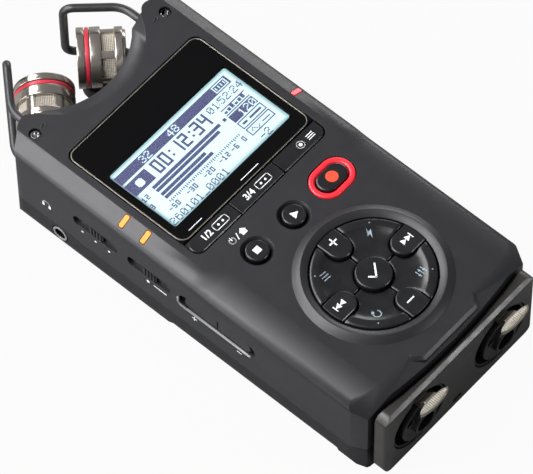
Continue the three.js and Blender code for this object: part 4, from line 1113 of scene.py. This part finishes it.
def display_picture():
    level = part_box("lcd_panel")[1].z / MM
    side = PIXEL - 2 * PIXEL_GAP
    pixels = []
    for column, row in sorted(picture_pixels()):
        left = PICTURE_LEFT + column * PIXEL + PIXEL_GAP
        top = PICTURE_TOP - row * PIXEL - PIXEL_GAP
        outline = rectangle(left, top - side, left + side, top)
        points, faces = slab(outline, level, level + PRINT_THICKNESS)
        pixels.append((points, faces[1:]))
    piece("display_picture", merged(pixels), "ink", smooth=False)


display_picture()

# Marks on the face and the keys: symbols and plain numbers only


def top_of(node):
    """Places a drawing on a key's top."""
    return on_face(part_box(node)[1].z / MM)


def triangle(x, y, length, half_height, direction=1):
    return [
        (x, y - half_height), (x + direction * length, y), (x, y + half_height),
    ][::direction]


def key_row_marks():
    row = along(ROUND_KEY_ROW)
    key = top_of("stop_key")
    stop = rectangle(STOP_KEY_X - 1, row - 1, STOP_KEY_X + 1, row + 1)
    printed("mark_stop", [stop], key, "stop_key")
    printed("mark_play", [triangle(-0.6, row - 0.2, 2.2, 1.25)], key, "play_key")
    printed("mark_rec", [disc(REC_KEY_X, row, 1.85)], top_of("rec_key"), "rec_key", "print_red")


def key_strip_marks():
    strip = top_of("track_key_a")
    row = along(74.25)
    lettered("mark_track_a", "1/2", -20.6, row, "track_key_a")
    lettered("mark_track_b", "3/4", -3.0, row, "track_key_b")
    for x, letter in ((-15.0, "a"), (2.8, "b")):
        box = rounded(x - 2.7, row - 1.15, x + 2.7, row + 1.15, 0.6, 4)
        dots = [disc(x + right, row, 0.38, 16) for right in (-0.9, 0.9)]
        printed(f"mark_solo_{letter}", stroke(box, 0.22, closed=True) + dots, strip,
                f"track_key_{letter}")
    mode = stroke(disc(18.6, row, 1.15, 28), 0.28, closed=True)
    mode.append(disc(18.6, row, 0.55, 20))
    for lift in (0.7, 0, -0.7):
        mode += bar(22.7, row + lift, 1.3, 0.28)
    printed("mark_mode", mode, strip, "mode_key")


def face_marks():
    face = on_face(FACE_HEIGHT)
    low, high = along(79.02), along(79.24)
    lines = [rectangle(left, low, right, high) for left, right in ((-22.7, -17.3), (-1.0, 6.3))]
    printed("mark_track_lines", lines, face)

    row = along(67.85)
    power = stroke(arc(-17.3, row - 0.05, 0.95, 125, 415, 20), 0.3)
    power += upright(-17.3, row + 0.65, 0.6, 0.3)
    power += stroke([(-15.7, row - 1.05), (-14.8, row + 0.95)], 0.3)
    arrow = ((-13.0, 1.25), (-14.3, 0.05), (-13.9, 0.05), (-13.9, -1.05), (-12.1, -1.05),
             (-12.1, 0.05), (-11.7, 0.05))
    power.append([(x, row + up) for x, up in arrow])
    printed("mark_power", power, face)


def pad_marks():
    pad = along(KEYPAD)
    key = top_of("plus_key")
    plus = bar(0, pad + 14.7, 1.4, 0.45) + upright(0, pad + 14.7, 1.4, 0.45)
    printed("mark_plus", plus, key, "plus_key")
    printed("mark_minus", bar(0, pad - 13.2, 1.4, 0.45), key, "minus_key")
    for name, sign in (("forward", 1), ("back", -1)):
        marks = [triangle(sign * x, pad + 0.2, sign * 1.7, 0.95) for x in (12.2, 13.9)]
        marks += upright(sign * 15.75, pad + 0.2, 1.0, 0.32)
        printed(f"mark_{name}", marks, key, f"{name}_key")
    tick = stroke([(-2.0, pad + 0.1), (-0.6, pad - 1.5), (2.3, pad + 1.7)], 0.5)
    printed("mark_enter", tick, top_of("centre_key"), "centre_key")

    menu = []
    for lift in (-0.9, 0, 0.9):
        menu += bar(-9.3, pad + 9.5 + lift, 1.3, 0.3)
    printed_in_bowl("mark_menu", menu, "corner_key_b")
    bolt = ((9.7, 11.2), (8.2, 9.2), (9.2, 9.2), (8.7, 7.8), (10.3, 9.9), (9.3, 9.9))
    printed_in_bowl("mark_quick", [[(x, pad + up) for x, up in bolt]], "corner_key_a")
    again = stroke(arc(-8.9, pad - 8.9, 1.15, 100, 400, 20), 0.3)
    again.append(triangle(-9.2, pad - 7.75, -0.9, 0.6))
    printed_in_bowl("mark_repeat", again, "corner_key_c")
    mixer = []
    for x, knob in ((8.1, -0.5), (9.1, 0.6), (10.1, -0.1)):
        mixer += upright(x, pad - 9.2, 1.2, 0.22) + bar(x, pad - 9.2 + knob, 0.35, 0.4)
    printed_in_bowl("mark_mixer", mixer, "corner_key_d")
    for letter, right, up in (("a", 1, 1), ("b", -1, 1), ("c", -1, -1), ("d", 1, -1)):
        dot = disc(right * 11.4, pad + up * 11.4, 0.22, 12)
        printed_in_bowl(f"mark_dot_{letter}", [dot], f"corner_key_{letter}")


def side_marks():
    wall = on_left_side()
    x = -along(121.9)
    headphones = stroke(arc(x, 17.5, 1.3, 0, 180, 14), 0.32)
    headphones += [rectangle(left, 16.2, left + 0.8, 17.6) for left in (x - 1.6, x + 0.8)]
    printed("mark_headphones", headphones, wall)
    dots = [disc(-along(station), height(16.6), 0.4, 16) for station in (108.3, 103.3, 98.3)]
    printed("mark_input", dots, wall)
    hold = [disc(-along(83.65), 17.4, 0.55, 16)] + bar(-along(79.2), 17.4, 2.4, 0.4)
    printed("mark_hold", hold, wall)
    level = height(17.9)
    louder, quieter = -along(66.5), -along(50.0)
    marks = bar(louder, level, 0.9, 0.35) + upright(louder, level, 0.9, 0.35)
    printed("mark_level", marks + bar(quieter, level, 0.9, 0.35), wall)


key_row_marks()
key_strip_marks()
face_marks()
pad_marks()
side_marks()

# Floor, light and camera


FLOOR_GREY = 0.22
FLOOR_REACH = 3.0
FLOOR_DROP = 0.05
FLOOR_IN_GLOSS = 0.06
FLOOR_WHITE = 0.95


def ray_kinds(tree):
    """Whether a ray comes from the camera, off gloss, or through glass."""
    kinds = tree.nodes.new("ShaderNodeLightPath").outputs
    return kinds["Is Camera Ray"], kinds["Is Glossy Ray"], kinds["Is Transmission Ray"]


def show(tree, amount, plain, white, output):
    """Mixes two shader nodes by an amount, into the output."""
    mixed = tree.nodes.new("ShaderNodeMixShader")
    feed(tree, mixed, {0: amount, 1: plain.outputs[0], 2: white.outputs[0]})
    feed(tree, tree.nodes[output], {0: mixed.outputs[0]})


def make_floor():
    """A grey floor that looks white to the camera and through glass."""
    material = bpy.data.materials.new("floor")
    material.use_nodes = True
    tree = material.node_tree
    plain = tree.nodes["Principled BSDF"]
    feed(tree, plain, {
        "Base Color": (FLOOR_GREY, FLOOR_GREY, FLOOR_GREY, 1),
        "Roughness": 0.9, "Specular IOR Level": 0.1,
    })
    camera, gloss, glass = ray_kinds(tree)
    seen = maths(tree, "MAXIMUM", camera, maths(tree, "MULTIPLY", gloss, FLOOR_IN_GLOSS))
    amount = maths(tree, "MULTIPLY", maths(tree, "MAXIMUM", seen, glass), FLOOR_WHITE)
    show(tree, amount, plain, tree.nodes.new("ShaderNodeEmission"), "Material Output")
    mesh = bpy.data.meshes.new("floor")
    corners = rectangle(-FLOOR_REACH, -FLOOR_REACH, FLOOR_REACH, FLOOR_REACH)
    mesh.from_pydata([(x, y, 0) for x, y in corners], [], [(0, 1, 2, 3)])
    mesh.materials.append(material)
    floor = bpy.data.objects.new("floor", mesh)
    floor.location.z = -FLOOR_DROP * MM
    bpy.context.scene.collection.objects.link(floor)


WORLD_TONE = (0.96, 0.98, 1.0, 1)
WORLD_STRENGTH = 0.22
GLOSS_HEIGHTS = (0.05, 0.7)
GLOSS_WHITES = (0.16, 0.03)


def make_world():
    """Even light that looks bright to the camera and through glass, and in gloss
    more so near the horizon than above."""
    world = bpy.data.worlds.new("studio")
    bpy.context.scene.world = world
    world.use_nodes = True
    tree = world.node_tree
    plain = tree.nodes["Background"]
    feed(tree, plain, {"Color": WORLD_TONE, "Strength": WORLD_STRENGTH})
    direction = tree.nodes.new("ShaderNodeTexCoord").outputs["Generated"]
    split = feed(tree, tree.nodes.new("ShaderNodeSeparateXYZ"), {0: direction})
    fall = map_range(tree, split.outputs["Z"], GLOSS_HEIGHTS, GLOSS_WHITES, "SMOOTHSTEP")
    camera, gloss, glass = ray_kinds(tree)
    seen = maths(tree, "MAXIMUM", camera, glass)
    amount = maths(tree, "MAXIMUM", seen, maths(tree, "MULTIPLY", gloss, fall))
    show(tree, amount, plain, tree.nodes.new("ShaderNodeBackground"), "World Output")


# Lights: name, direction, distance, width, length, power
LIGHTS = (
    ("light_left", (-0.58, 0.38, 0.72), 0.75, 0.45, 0.8, 9.0),
    ("light_above", (-0.26, 0.42, 0.87), 0.8, 0.35, 0.2, 0.9),
    ("light_back", (-0.12, 0.8, 0.59), 0.8, 0.45, 0.35, 4.5),
    ("light_right", (0.88, 0.45, 0.22), 0.8, 0.4, 0.25, 1.7),
    ("light_front", (0.33, -0.92, 0.38), 0.36, 0.05, 0.05, 0.22),
    ("light_low", (-0.93, 0.36, 0.06), 0.6, 0.35, 0.06, 0.8),
)


def softbox(name, direction, distance, width, length, power):
    light = bpy.data.lights.new(name, "AREA")
    light.shape = "RECTANGLE"
    light.size, light.size_y = width, length
    light.energy = power
    lamp = bpy.data.objects.new(name, light)
    away = Vector(direction).normalized()
    lamp.location = away * distance
    lamp.rotation_mode = "QUATERNION"
    lamp.rotation_quaternion = away.to_track_quat("Z", "Y")
    bpy.context.scene.collection.objects.link(lamp)


SENSOR_WIDTH = 36
FOCAL_LENGTH = 337.7
CAMERA_RIGHT = (0.65893, -0.75218, -0.00596)
CAMERA_UP = (0.64323, 0.55935, 0.52286)
CAMERA_BACK = (-0.38995, -0.34837, 0.85240)
CAMERA_PLACE = (-0.54606, -0.49447, 1.20529)


def make_camera():
    data = bpy.data.cameras.new("camera")
    data.sensor_width = SENSOR_WIDTH
    data.lens = FOCAL_LENGTH
    data.clip_start = 0.1
    data.clip_end = 20
    camera = bpy.data.objects.new("camera", data)
    matrix = Matrix((CAMERA_RIGHT, CAMERA_UP, CAMERA_BACK)).transposed().to_4x4()
    matrix.translation = CAMERA_PLACE
    camera.matrix_world = matrix
    bpy.context.scene.collection.objects.link(camera)
    bpy.context.scene.camera = camera


make_floor()
make_world()
for light in LIGHTS:
    softbox(*light)
make_camera()
bpy.context.scene.view_settings.view_transform = "Standard"
